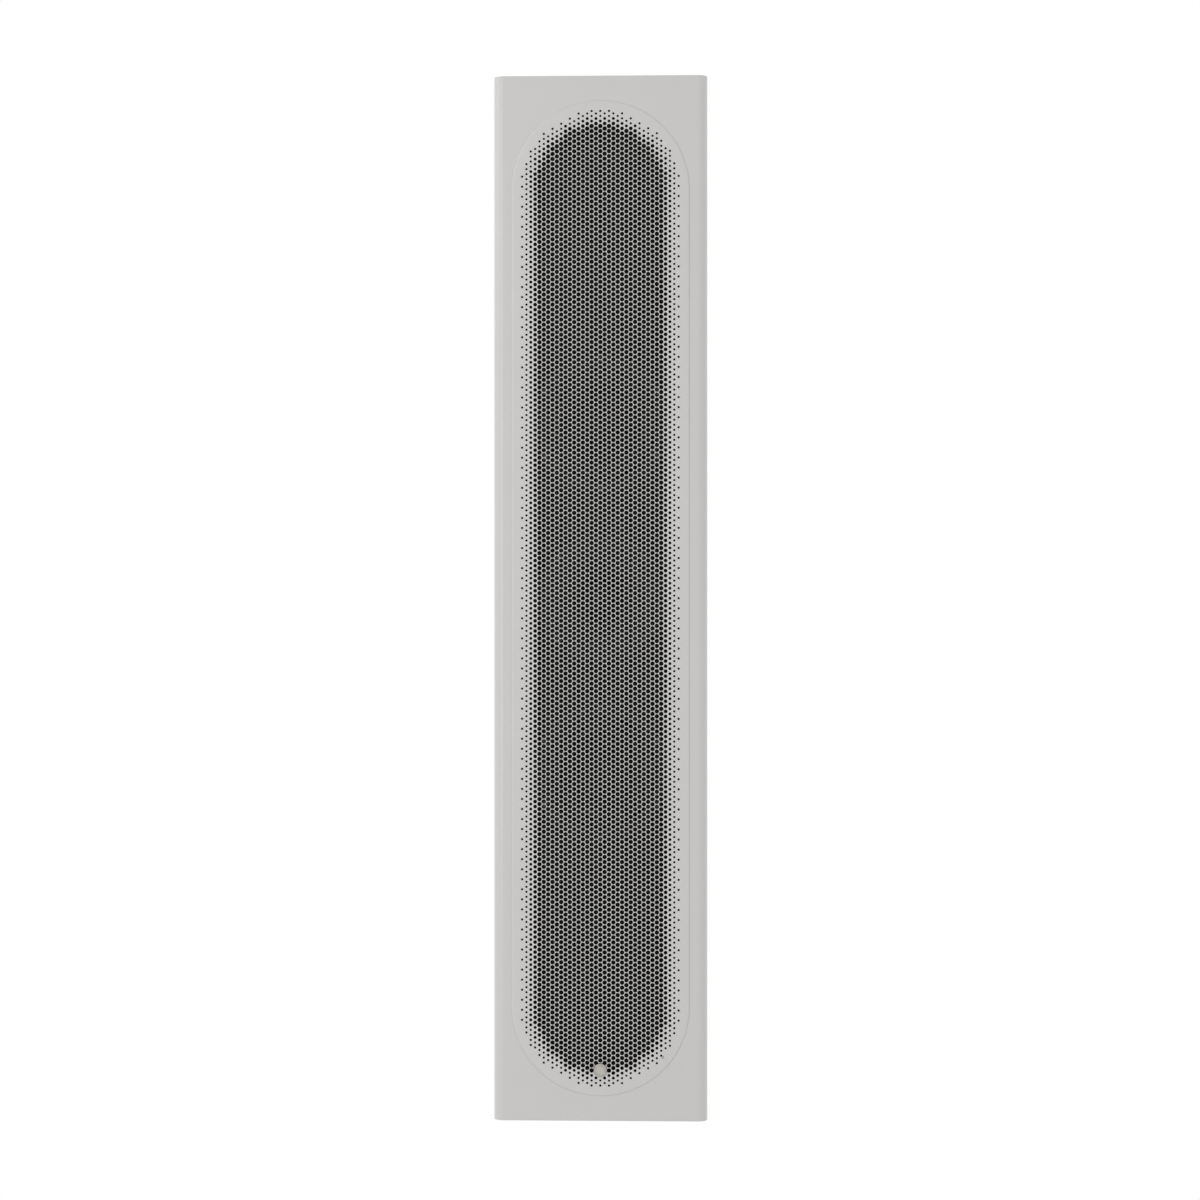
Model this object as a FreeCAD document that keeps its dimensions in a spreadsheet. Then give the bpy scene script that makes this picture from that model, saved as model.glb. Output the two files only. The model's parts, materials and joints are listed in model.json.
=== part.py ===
"""On-wall loudspeaker, piece by piece, as a parametric document. All sizes are millimetres.

The part's frame has +X to the right and +Z up, and the front faces -Y. The origin is the middle of the
rear panel's outer face. Every piece is drawn in a front frame, x to the right, y up and z towards the
listener, and is then turned a quarter turn about X, which lays that z along -Y.
"""

import FreeCAD, Part
import math
import os
import Sketcher
from collections import namedtuple
from types import SimpleNamespace

SIZES = {
    # Cabinet
    "cabinet_width": 213,
    "cabinet_height": 1041,
    "front_edge_radius": 9.5,
    "side_wall": 12,
    "end_wall": 15,
    "front_wall": 12,
    "baffle_thickness": 15,
    "rear_thickness": 12,
    "motor_room": 11,
    "glue_gap": 0.3,
    "batten": 15,
    "seal_thickness": 1.5,
    "brace_thickness": 12,
    "brace_arm": 17,
    "brace_window_height": 20,
    "brace_window_corner": 6,
    "damping_length": 116,
    "damping_side_gap": 19,
    "damping_thickness": 18,
    # Back of the cabinet
    "rear_screw_head_radius": 3.4,
    "rear_screw_head_height": 2.4,
    "rear_screw_radius": 1.75,
    "rear_screw_length": 22,
    "screw_clearance": 0.15,
    "bumper_radius": 7,
    "bumper_height": 3,
    "bumper_side_inset": 50,
    "bumper_end_inset": 35,
    "keyhole_end_margin": 8,
    "keyhole_plate_width": 30,
    "keyhole_plate_height": 44,
    "keyhole_plate_thickness": 2,
    "keyhole_entry_radius": 5,
    "keyhole_slot_radius": 2.6,
    "keyhole_slot_length": 12,
    "keyhole_head_room": 7,
    "keyhole_screw_inset": 5,
    # Grille
    "grille_side_border": 17.75,
    "grille_end_border": 25,
    "grille_gap": 0.15,
    "grille_sheet": 1.0,
    "grille_proud": 0.8,
    "grille_edge_radius": 1.1,
    "grille_seat_gap": 0.3,
    "hole_pitch": 5,
    "hole_diameter": 4.0,
    "hole_border": 10.65,
    "fine_band": 6.1,
    "grade_band": 4.15,
    "slot_bar": 6,
    "magnet_disc_radius": 4,
    "magnet_disc_thickness": 5,
    "magnet_inset": 2,
    "badge_radius": 6.6,
    "badge_height": 1.4,
    "badge_rim": 1.3,
    "badge_floor": 0.7,
    "badge_bevel": 0.4,
    "badge_rows": 3,
    # Woofers
    "woofer_offset": 174,
    "woofer_flange_radius": 69,
    "woofer_flange_thickness": 5,
    "woofer_land": 10,
    "flange_gap": 0.5,
    "gasket_thickness": 1,
    "basket_gap": 1,
    "basket_wall": 2,
    "basket_depth": 33,
    "basket_foot_radius": 42,
    "basket_foot_thickness": 2.5,
    "basket_hole_radius": 20,
    "spider_height": 6.5,
    "spider_room": 1.2,
    "spider_ledge": 6,
    "spider_thickness": 0.5,
    "surround_step": 1.5,
    "surround_lip": 5,
    "surround_roll": 10,
    "surround_thickness": 0.8,
    "cone_thickness": 0.8,
    "cone_collar": 3,
    "dust_cap_radius": 19,
    "dust_cap_height": 6,
    "former_radius": 13.2,
    "former_wall": 0.3,
    "winding_thickness": 0.6,
    "winding_length": 12,
    "coil_clearance": 0.45,
    "top_plate_radius": 40,
    "top_plate_thickness": 5,
    "magnet_radius": 45,
    "magnet_hole_radius": 22,
    "magnet_thickness": 14,
    "back_plate_thickness": 5,
    "pole_vent_radius": 4,
    "driver_screw_inset": 3.9,
    "driver_screw_head_radius": 3.1,
    "driver_screw_head_height": 2,
    "driver_screw_radius": 1.75,
    "driver_screw_length": 13,
    # Tweeter
    "tweeter_plate_radius": 65,
    "tweeter_plate_thickness": 5,
    "tweeter_land": 19,
    "tweeter_screw_inset": 6,
    "horn_mouth_radius": 50,
    "horn_curve_radius": 60,
    "horn_depth": 14,
    "horn_taper": 4.5,
    "throat_gap": 0.4,
    "throat_lip": 2,
    "dome_radius": 13,
    "dome_height": 5.2,
    "dome_thickness": 0.4,
    "dome_roll": 3.8,
    "dome_lip": 3.4,
    "dome_clearance": 0.2,
    "tweeter_coil_wall": 0.4,
    "tweeter_coil_length": 3.7,
    "tweeter_coil_clearance": 0.4,
    "tweeter_motor_radius": 36,
    "tweeter_magnet_hole_radius": 20,
    "tweeter_magnet_thickness": 12,
    "tweeter_steel": 4,
    "tweeter_back_radius": 35,
    "tweeter_pole_setback": 0.5,
    # Solder tags
    "tag_strip_width": 18,
    "tag_strip_height": 10,
    "tag_strip_thickness": 2,
    "tag_width": 4.8,
    "tag_length": 8,
    "tag_thickness": 0.8,
    "tag_spacing": 10,
    # Crossover
    "board_width": 108,
    "board_height": 76,
    "board_thickness": 1.6,
    "board_part_margin": 4,
    "board_screw_inset": 6,
    "spacer_height": 6,
    "spacer_radius": 4,
    "small_screw_head_radius": 2.8,
    "small_screw_head_height": 1.8,
    "small_screw_radius": 1.4,
    "small_screw_length": 9,
    "large_coil_radius": 20,
    "large_coil_hole": 10,
    "large_coil_height": 17,
    "large_coil_drop": 9.5,
    "small_coil_radius": 13,
    "small_coil_hole": 7,
    "small_coil_height": 12,
    "small_coil_rise": 19,
    "large_capacitor_radius": 8,
    "large_capacitor_length": 34,
    "large_capacitor_rise": 25.5,
    "small_capacitor_radius": 6,
    "small_capacitor_length": 26,
    "small_capacitor_drop": 23,
    "resistor_length": 28,
    "resistor_side": 9,
    "resistor_drop": 4,
    # Terminals
    "cup_gap": 5,
    "cup_flange_width": 88,
    "cup_flange_height": 66,
    "cup_flange_thickness": 3,
    "cup_corner_radius": 6,
    "cup_width": 70,
    "cup_height": 48,
    "cup_wall": 2.5,
    "cup_depth": 34,
    "cup_screw_inset": 5,
    "post_spacing": 19,
    "post_radius": 4,
    "post_collar_radius": 6.5,
    "post_collar_thickness": 3,
    "post_inner_length": 10,
    "post_recess": 4,
    "post_bore_radius": 2.05,
    "post_bore_depth": 20,
    "nut_flats": 13,
    "nut_thickness": 4,
    "post_cap_radius": 7,
    "post_cap_end_wall": 1.5,
    "post_cap_mouth_radius": 2.6,
    "post_cap_chamfer": 1,
    "post_cap_clearance": 0.3,
    "post_flute_radius": 0.9,
    "post_flute_depth": 0.6,
    # Inner leads
    "lead_radius": 2,
    "lead_step": 10,
    "lead_end_gap": 1.2,
    "lane_margin": 7,
}

# Hole sizes of the three graded bands at the edge of the perforation, from the inside out.
GRADED_SHARES = (0.86, 0.67, 0.5)
SLOTS_PER_COLUMN = 3
BASKET_WINDOWS = 6
BASKET_WINDOW_HALF_ANGLE = 21
SPIDER_HALF_WAVES = 8
WOOFER_SCREWS = 6
TWEETER_SCREWS = 4
CAP_FLUTES = 12
REAR_SCREW_SPACES = 6
SIDE_MAGNETS = 5
# Radius of a small roll or wave as a share of its width, a little over a half round.
ROLL_BEND = 0.56
# Square socket of a screw: its side as a share of the shank's radius, its depth as a share of the head.
SOCKET_SIDE = 1.5
SOCKET_DEPTH = 0.7
# Share of the shorter run that a cable's bend takes up.
BEND_SHARE = 0.45

TURN = FreeCAD.Rotation(FreeCAD.Vector(1, 0, 0), 90)
Round = namedtuple("Round", "x y radius")
doc = FreeCAD.newDocument("on_wall_speaker")
sub_parts = []


def value_of(amount):
    """The present number of a size or a plain number."""
    return amount.value if isinstance(amount, Size) else float(amount)


def formula_of(amount):
    """The text of a size, or of a plain number, in a formula."""
    return amount.formula if isinstance(amount, Size) else f"({float(amount)!r})"


class Size:
    """A length that carries its spreadsheet formula together with its present value."""

    def __init__(self, formula, value):
        self.formula = formula
        self.value = value

    def __add__(self, other):
        return Size(f"({self.formula} + {formula_of(other)})", self.value + value_of(other))

    def __radd__(self, other):
        return self + other

    def __sub__(self, other):
        return Size(f"({self.formula} - {formula_of(other)})", self.value - value_of(other))

    def __rsub__(self, other):
        return -self + other

    def __mul__(self, other):
        return Size(f"({self.formula} * {formula_of(other)})", self.value * value_of(other))

    def __rmul__(self, other):
        return self * other

    def __truediv__(self, other):
        return Size(f"({self.formula} / {formula_of(other)})", self.value / value_of(other))

    def __neg__(self):
        return self * -1


def fill_sheet():
    """Put every driving size in the spreadsheet and return them by name."""
    sheet = doc.addObject("Spreadsheet::Sheet", "sizes")
    for row, (alias, value) in enumerate(SIZES.items(), start=1):
        sheet.set(f"A{row}", alias.replace("_", " "))
        sheet.set(f"B{row}", str(value))
        sheet.setAlias(f"B{row}", alias)
    doc.recompute()
    return SimpleNamespace(**{alias: Size(f"sizes.{alias}", float(sheet.get(alias))) for alias in SIZES})


def bind(thing, name, amount):
    """Tie one property of an object to the spreadsheet."""
    thing.setExpression(name, formula_of(amount))


def place(piece, x, y, z):
    """Stand a piece at a point of the front frame."""
    piece.Placement = FreeCAD.Placement(FreeCAD.Vector(), TURN)
    bind(piece, "Placement.Base.x", x)
    bind(piece, "Placement.Base.y", -z)
    bind(piece, "Placement.Base.z", y)


def new_body(label, x=0, y=0, z=0):
    """An empty body of the assembly; screws and other like pieces are one body of several solids."""
    body = doc.addObject("PartDesign::Body", label)
    body.Label = label
    body.AllowCompound = True
    place(body, x, y, z)
    sub_parts.append(body)
    return body


def origin_item(body, role):
    """One of a body's own planes or axes."""
    return next(item for item in body.Origin.OriginFeatures if item.Role == role)


def draw_round(sketch, circle):
    """A circle tied by its middle and radius."""
    x, y, radius = circle
    middle = FreeCAD.Vector(value_of(x), value_of(y), 0)
    edge = sketch.addGeometry(Part.Circle(middle, FreeCAD.Vector(0, 0, 1), value_of(radius)), False)
    ties = (("DistanceX", x), ("DistanceY", y))
    for kind, amount in ties:
        index = sketch.addConstraint(Sketcher.Constraint(kind, -1, 1, edge, 3, value_of(amount)))
        bind(sketch, f"Constraints[{index}]", amount)
    index = sketch.addConstraint(Sketcher.Constraint("Radius", edge, value_of(radius)))
    bind(sketch, f"Constraints[{index}]", radius)


def arc_between(start, end, bulge):
    """An arc of a given radius that bulges to the right of its way, or to the left if below 0."""
    chord = end - start
    right = FreeCAD.Vector(chord.y, -chord.x, 0).normalize()
    offset = math.sqrt(bulge * bulge - chord.Length * chord.Length / 4)
    side = math.copysign(1, bulge)
    middle = (start + end) / 2
    crown = middle + right * side * (abs(bulge) - offset)
    return Part.Arc(start, crown, end)


def draw_outline(sketch, corners):
    """A closed outline: each corner is (x, y), or (x, y, radius) where an arc leaves it."""
    points = [FreeCAD.Vector(value_of(corner[0]), value_of(corner[1]), 0) for corner in corners]
    edges = []
    starts = []
    for place_in_ring, corner in enumerate(corners):
        start = points[place_in_ring]
        end = points[(place_in_ring + 1) % len(points)]
        if len(corner) == 3:
            edge = sketch.addGeometry(arc_between(start, end, value_of(corner[2])), False)
        else:
            edge = sketch.addGeometry(Part.LineSegment(start, end), False)
        edges.append(edge)
        starts.append(1 if sketch.getPoint(edge, 1).isEqual(start, 1e-6) else 2)
    ties = []
    amounts = []
    for place_in_ring, corner in enumerate(corners):
        following = (place_in_ring + 1) % len(corners)
        edge = edges[place_in_ring]
        begin = starts[place_in_ring]
        ties.append(Sketcher.Constraint("Coincident", edge, 3 - begin, edges[following], starts[following]))
        amounts.append(None)
        for kind, amount in (("DistanceX", corner[0]), ("DistanceY", corner[1])):
            ties.append(Sketcher.Constraint(kind, -1, 1, edge, begin, value_of(amount)))
            amounts.append(amount)
        if len(corner) == 3:
            ties.append(Sketcher.Constraint("Radius", edge, abs(value_of(corner[2]))))
            amounts.append(corner[2] if value_of(corner[2]) > 0 else -corner[2])
    for index, amount in zip(sketch.addConstraint(ties), amounts):
        if amount is not None:
            bind(sketch, f"Constraints[{index}]", amount)


def add_sketch(body, outlines, plane, level):
    """A sketch of outlines and circles on one of the body's own planes, raised to a level."""
    sketch = body.newObject("Sketcher::SketchObject", f"{body.Name}_outline")
    sketch.AttachmentSupport = [(origin_item(body, plane), "")]
    sketch.MapMode = "FlatFace"
    bind(sketch, "AttachmentOffset.Base.z", level)
    for outline in outlines:
        if isinstance(outline, Round):
            draw_round(sketch, outline)
        else:
            draw_outline(sketch, outline)
    return sketch


def pad(body, outlines, length, level=0, back=False, plane="XY_Plane"):
    """Raise outlines forward from a level, or back from it."""
    sketch = add_sketch(body, outlines, plane, level)
    feature = body.newObject("PartDesign::Pad", f"{body.Name}_pad")
    feature.Profile = sketch
    feature.Reversed = back
    bind(feature, "Length", length)
    return feature


def cut(body, outlines, depth, level=0, back=False):
    """Cut outlines forward from a level, or back from it, and make sure that material went."""
    doc.recompute()
    volume = body.Shape.Volume
    sketch = add_sketch(body, outlines, "XY_Plane", level)
    feature = body.newObject("PartDesign::Pocket", f"{body.Name}_cut")
    feature.Profile = sketch
    feature.Reversed = not back
    bind(feature, "Length", depth)
    doc.recompute()
    if body.Shape.Volume >= volume:
        raise RuntimeError(f"a cut in {body.Label} removes nothing")
    return feature


def repeat_round(body, feature, count):
    """Repeat a feature evenly about the body's z axis."""
    pattern = body.newObject("PartDesign::PolarPattern", f"{body.Name}_round")
    pattern.Originals = [feature]
    pattern.Axis = (origin_item(body, "Z_Axis"), [""])
    pattern.Angle = 360
    pattern.Occurrences = count
    body.Tip = pattern


def turned(label, outline, x=0, y=0, z=0):
    """A round piece from an outline of radius and z."""
    body = new_body(label, x, y, z)
    sketch = add_sketch(body, [outline], "XZ_Plane", 0)
    feature = body.newObject("PartDesign::Revolution", f"{label}_turn")
    feature.Profile = sketch
    feature.ReferenceAxis = (sketch, ["V_Axis"])
    feature.Angle = 360
    return body


def ring(label, inner, outer, low, high, y=0, z=0):
    """A flat ring between two radii and two levels."""
    return turned(label, [(inner, low), (outer, low), (outer, high), (inner, high)], 0, y, z)


def block(label, x, y, width, height, low, depth):
    """A plain board: x and y are its middle and low its rear face."""
    box = doc.addObject("Part::Box", label)
    box.Label = label
    bind(box, "Length", width)
    bind(box, "Width", height)
    bind(box, "Height", depth)
    place(box, x - width / 2, y - height / 2, low)
    sub_parts.append(box)
    return box


def rectangle(x, y, width, height):
    """Corners of a rectangle about its middle."""
    left = x - width / 2
    right = x + width / 2
    low = y - height / 2
    high = y + height / 2
    return [(left, low), (right, low), (right, high), (left, high)]


def rounded_rectangle(x, y, width, height, radius):
    """Corners of a rectangle with rounded corners."""
    left = x - width / 2
    right = x + width / 2
    low = y - height / 2
    high = y + height / 2
    return [(left + radius, low), (right - radius, low, radius), (right, low + radius),
            (right, high - radius, radius), (right - radius, high), (left + radius, high, radius),
            (left, high - radius), (left, low + radius, radius)]


def stadium(half_width, half_length):
    """Corners of an upright stadium: straight sides joined by half rounds."""
    straight = half_length - half_width
    return [(half_width, -straight), (half_width, straight, half_width), (0, half_length, half_width),
            (-half_width, straight), (-half_width, -straight, half_width), (0, -half_length, half_width)]


def spots_round(radius, count, y=0, turn=0.5):
    """Places on a circle; turn is the first one's angle as a share of the step."""
    spots = []
    for number in range(count):
        angle = 2 * math.pi * (number + turn) / count
        spots.append((radius * math.cos(angle), radius * math.sin(angle) + y))
    return spots


def rounds(spots, radius):
    """One circle of the same radius at each place."""
    return [Round(x, y, radius) for x, y in spots]


def screws(label, spots, seat, kind, length, heads_front):
    """A set of like screws with square sockets, each head lying on its seat."""
    body = new_body(label)
    pad(body, rounds(spots, kind.head_radius), kind.head_height, seat, back=not heads_front)
    pad(body, rounds(spots, kind.radius), length, seat, back=heads_front)
    side = kind.radius * SOCKET_SIDE
    top = seat + kind.head_height if heads_front else seat - kind.head_height
    sockets = [rectangle(x, y, side, side) for x, y in spots]
    cut(body, sockets, kind.head_height * SOCKET_DEPTH, top, back=heads_front)
    return body


def derive(size):
    """Levels and radii that several pieces share, all worked out from the driving sizes."""
    at = SimpleNamespace()
    # Levels along z, from the rear panel's outer face
    at.woofer_depth = (size.basket_depth + size.top_plate_thickness
                       + size.magnet_thickness + size.back_plate_thickness)
    at.baffle_front = size.rear_thickness + size.motor_room + at.woofer_depth
    at.baffle_back = at.baffle_front - size.baffle_thickness
    at.front = at.baffle_front + size.front_wall
    at.batten_back = size.rear_thickness + size.seal_thickness
    at.batten_front = at.batten_back + size.batten
    at.grille_front = at.front + size.grille_proud
    at.grille_back = at.baffle_front + size.grille_seat_gap
    # Outlines seen from the front
    at.half_width = size.cabinet_width / 2
    at.half_height = size.cabinet_height / 2
    at.inner_width = size.cabinet_width - size.side_wall * 2
    at.inner_height = size.cabinet_height - size.end_wall * 2
    at.panel_width = at.inner_width - size.glue_gap * 2
    at.panel_height = at.inner_height - size.glue_gap * 2
    at.grille_half_width = at.half_width - size.grille_side_border
    at.grille_half_length = at.half_height - size.grille_end_border
    # Woofer radii
    at.woofer_cutout = size.woofer_flange_radius - size.woofer_land
    at.basket_outer = at.woofer_cutout - size.basket_gap
    at.basket_inner = at.basket_outer - size.basket_wall
    at.ledge_outer = size.basket_foot_radius + size.basket_wall / 2
    at.basket_waist = at.ledge_outer + size.basket_wall
    at.spider_level = size.basket_foot_thickness + size.spider_height - size.basket_depth
    at.roll_inner = at.basket_inner - size.surround_roll
    at.surround_inner = at.roll_inner - size.surround_lip
    at.woofer_screw_circle = size.woofer_flange_radius - size.driver_screw_inset
    at.cone_neck = size.former_radius + size.glue_gap
    at.cone_rim = at.roll_inner - size.glue_gap
    at.cone_front = -size.surround_step - size.glue_gap
    at.cone_foot = at.spider_level + size.spider_room + size.cone_collar
    at.coil_outer = size.former_radius + size.winding_thickness
    # Tweeter radii and levels
    at.tweeter_cutout = size.tweeter_plate_radius - size.tweeter_land
    at.tweeter_screw_circle = size.tweeter_plate_radius - size.tweeter_screw_inset
    at.roll_outer = size.dome_radius + size.dome_roll
    at.tweeter_lip = at.roll_outer + size.dome_lip
    at.tweeter_seat = -size.horn_depth - size.throat_lip
    # Inside and back of the cabinet
    at.brace_depth = at.baffle_back - at.batten_front - size.glue_gap
    at.brace_level = at.baffle_back - at.brace_depth / 2
    at.brace_y = (size.woofer_offset - at.woofer_cutout + at.tweeter_cutout) / 2
    at.keyhole_y = at.panel_height / 2 - size.keyhole_end_margin - size.keyhole_plate_height / 2
    at.cup_y = size.keyhole_plate_height / 2 + size.cup_gap + size.cup_flange_height / 2 - at.keyhole_y
    at.cup_floor = size.cup_depth - size.cup_wall
    at.board_back = size.rear_thickness + size.spacer_height
    at.board_front = at.board_back + size.board_thickness
    at.tag_reach = size.glue_gap + size.tag_strip_thickness + size.tag_length
    at.tag_level = (size.tag_strip_height + size.tag_thickness) / -2
    return at


size = fill_sheet()
at = derive(size)

WOOFERS = (("upper", size.woofer_offset), ("lower", -size.woofer_offset))

driver_screw = SimpleNamespace(radius=size.driver_screw_radius,
                               head_radius=size.driver_screw_head_radius,
                               head_height=size.driver_screw_head_height)
rear_screw = SimpleNamespace(radius=size.rear_screw_radius,
                             head_radius=size.rear_screw_head_radius,
                             head_height=size.rear_screw_head_height)
small_screw = SimpleNamespace(radius=size.small_screw_radius,
                              head_radius=size.small_screw_head_radius,
                              head_height=size.small_screw_head_height)


def driver_screw_spots():
    """Screw places of the tweeter and of both woofers."""
    spots = spots_round(at.tweeter_screw_circle, TWEETER_SCREWS)
    for side, y in WOOFERS:
        spots += spots_round(at.woofer_screw_circle, WOOFER_SCREWS, y)
    return spots


def rear_screw_spots():
    """Screw places along the middle of the two long battens."""
    x = at.inner_width / 2 - size.batten / 2
    reach = at.inner_height / 2 - size.batten / 2
    spots = []
    for step in range(REAR_SCREW_SPACES + 1):
        y = reach * (2 * step / REAR_SCREW_SPACES - 1)
        spots += [(-x, y), (x, y)]
    return spots


def keyhole_screw_spots():
    """Four screw places on each hanging plate, at its corners and clear of the keyhole."""
    x = size.keyhole_plate_width / 2 - size.keyhole_screw_inset
    drop = size.keyhole_plate_height / 2 - size.keyhole_screw_inset
    return [(side * x, level * at.keyhole_y + end * drop)
            for level in (-1, 1) for end in (-1, 1) for side in (-1, 1)]


def cup_screw_spots():
    """Corners of the terminal cup's flange."""
    inset = size.cup_screw_inset * 2
    return rectangle(0, at.cup_y, size.cup_flange_width - inset, size.cup_flange_height - inset)


def fitting_screw_spots():
    """Screw places of the hanging plates and of the terminal cup, which are fixed alike."""
    return keyhole_screw_spots() + cup_screw_spots()


def board_screw_spots():
    """Corners of the crossover board."""
    inset = size.board_screw_inset * 2
    return rectangle(0, 0, size.board_width - inset, size.board_height - inset)


def post_spots():
    """Middles of the two binding posts."""
    return [(size.post_spacing / -2, at.cup_y), (size.post_spacing / 2, at.cup_y)]


def magnet_spots():
    """Places of the disc magnets, just inside the grille's turned-down rim."""
    x = at.grille_half_width - size.magnet_inset
    reach = at.grille_half_length - at.grille_half_width
    spots = []
    for step in range(SIDE_MAGNETS):
        y = reach * (2 * step / (SIDE_MAGNETS - 1) - 1)
        spots += [(-x, y), (x, y)]
    end = reach + x
    return spots + [(0, -end), (0, end)]


def make_cabinet_shell():
    """One box with rounded long front edges, open at the back, with the grille's window in its front."""
    body = new_body("cabinet_shell")
    edge = size.front_edge_radius
    plan = [(-at.half_width, 0), (at.half_width, 0), (at.half_width, at.front - edge, edge),
            (at.half_width - edge, at.front), (edge - at.half_width, at.front, edge),
            (-at.half_width, at.front - edge)]
    pad(body, [plan], size.cabinet_height, at.half_height, back=True, plane="XZ_Plane")
    cut(body, [rectangle(0, 0, at.inner_width, at.inner_height)], at.baffle_front)
    window = stadium(at.grille_half_width + size.grille_gap, at.grille_half_length + size.grille_gap)
    cut(body, [window], size.front_wall, at.baffle_front)


def make_driver_baffle():
    """The board that carries the drivers, with a stepped hole for each and a pocket for each magnet."""
    body = new_body("driver_baffle")
    pad(body, [rectangle(0, 0, at.panel_width, at.panel_height)], size.baffle_thickness, at.baffle_back)
    woofer_step = size.woofer_flange_thickness + size.gasket_thickness
    tweeter_step = size.tweeter_plate_thickness + size.gasket_thickness
    woofer_rim = size.woofer_flange_radius + size.flange_gap
    tweeter_rim = size.tweeter_plate_radius + size.flange_gap
    centres = [(0, y) for side, y in WOOFERS]
    cut(body, rounds(centres, woofer_rim), woofer_step, at.baffle_front, back=True)
    cut(body, [Round(0, 0, tweeter_rim)], tweeter_step, at.baffle_front, back=True)
    through = rounds(centres, at.woofer_cutout) + [Round(0, 0, at.tweeter_cutout)]
    cut(body, through, size.baffle_thickness, at.baffle_front, back=True)
    pilots = rounds(driver_screw_spots(), size.driver_screw_radius + size.screw_clearance)
    cut(body, pilots, size.driver_screw_length + size.screw_clearance, at.baffle_front, back=True)
    pockets = rounds(magnet_spots(), size.magnet_disc_radius + size.screw_clearance)
    cut(body, pockets, size.magnet_disc_thickness, at.baffle_front, back=True)


def make_rear_panel():
    """The removable back, with its screw holes, the cup's stepped opening and the keyhole pockets."""
    body = new_body("rear_panel")
    pad(body, [rectangle(0, 0, at.panel_width, at.panel_height)], size.rear_thickness)
    gap = size.screw_clearance
    cut(body, rounds(rear_screw_spots(), size.rear_screw_radius + gap), size.rear_thickness)
    cut(body, rounds(rear_screw_spots(), size.rear_screw_head_radius + gap), size.rear_screw_head_height)
    radius = size.cup_corner_radius + size.glue_gap
    step = rounded_rectangle(0, at.cup_y, size.cup_flange_width + size.glue_gap * 2,
                             size.cup_flange_height + size.glue_gap * 2, radius)
    opening = rounded_rectangle(0, at.cup_y, size.cup_width + size.glue_gap * 2,
                                size.cup_height + size.glue_gap * 2, radius)
    cut(body, [step], size.cup_flange_thickness)
    cut(body, [opening], size.rear_thickness)
    for level in (-1, 1):
        y = at.keyhole_y * level
        pocket = rectangle(0, y, size.keyhole_plate_width + size.glue_gap * 2,
                           size.keyhole_plate_height + size.glue_gap * 2)
        room = size.keyhole_entry_radius + size.glue_gap * 2
        head_room = [(room, y), (room, y + size.keyhole_slot_length, room),
                     (0, y + size.keyhole_slot_length + room, room), (-room, y + size.keyhole_slot_length),
                     (-room, y, room), (0, y - room, room)]
        cut(body, [pocket], size.keyhole_plate_thickness)
        cut(body, [head_room], size.keyhole_plate_thickness + size.keyhole_head_room)
    pilot = size.small_screw_radius + gap
    cut(body, rounds(fitting_screw_spots(), pilot), size.small_screw_length + gap)
    cut(body, rounds(board_screw_spots(), pilot), size.small_screw_length + gap, size.rear_thickness,
        back=True)


def make_rear_frame():
    """The batten frame behind the rear panel, its foam seal and the panel's screws."""
    gap = size.screw_clearance
    frame = new_body("rear_frame")
    outer = rectangle(0, 0, at.panel_width, at.panel_height)
    inner = rectangle(0, 0, at.inner_width - size.batten * 2, at.inner_height - size.batten * 2)
    pad(frame, [outer, inner], size.batten, at.batten_back)
    bite = size.rear_screw_length + size.rear_screw_head_height - at.batten_back
    cut(frame, rounds(rear_screw_spots(), size.rear_screw_radius + gap), bite + gap, at.batten_back)
    seal = new_body("rear_panel_seal")
    pad(seal, [outer, inner], size.seal_thickness, size.rear_thickness)
    cut(seal, rounds(rear_screw_spots(), size.rear_screw_radius + gap), size.seal_thickness,
        size.rear_thickness)
    screws("rear_panel_screws", rear_screw_spots(), size.rear_screw_head_height, rear_screw,
           size.rear_screw_length, heads_front=False)


def make_braces_and_damping():
    """A shelf brace and a foam pad for each half of the cabinet, both carried by the baffle."""
    pad_low = at.baffle_back - size.damping_thickness
    for side, sign in (("upper", 1), ("lower", -1)):
        body = new_body(f"{side}_brace", 0, at.brace_y * sign)
        outline = rectangle(0, at.brace_level, at.panel_width, at.brace_depth)
        window = rounded_rectangle(0, at.brace_level, at.panel_width - size.brace_arm * 2,
                                   size.brace_window_height, size.brace_window_corner)
        pad(body, [outline, window], size.brace_thickness, size.brace_thickness / 2, back=True,
            plane="XZ_Plane")
        y = (size.woofer_offset + at.woofer_cutout + at.inner_height / 2) / 2
        block(f"{side}_damping_pad", 0, y * sign, at.panel_width - size.damping_side_gap * 2,
              size.damping_length, pad_low, size.damping_thickness)


def make_wall_fittings():
    """Rubber bumpers, and the two steel keyhole plates let in flush with the rear panel."""
    bumpers = new_body("wall_bumpers")
    x = at.half_width - size.bumper_side_inset
    y = at.half_height - size.bumper_end_inset
    pad(bumpers, rounds(rectangle(0, 0, x * 2, y * 2), size.bumper_radius), size.bumper_height, back=True)
    plates = new_body("keyhole_plates")
    levels = [at.keyhole_y * level for level in (-1, 1)]
    outlines = [rectangle(0, y, size.keyhole_plate_width, size.keyhole_plate_height) for y in levels]
    pad(plates, outlines, size.keyhole_plate_thickness)
    entry = [Round(0, y, size.keyhole_entry_radius) for y in levels]
    cut(plates, entry, size.keyhole_plate_thickness)
    half = size.keyhole_slot_radius
    slots = []
    for y in levels:
        top = y + size.keyhole_slot_length
        slots.append([(-half, y), (half, y), (half, top, half), (0, top + half, half), (-half, top)])
    cut(plates, slots, size.keyhole_plate_thickness)
    cut(plates, rounds(keyhole_screw_spots(), size.small_screw_radius + size.screw_clearance),
        size.keyhole_plate_thickness)
    screws("rear_fitting_screws", fitting_screw_spots(), 0, small_screw, size.small_screw_length,
           heads_front=False)


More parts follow.
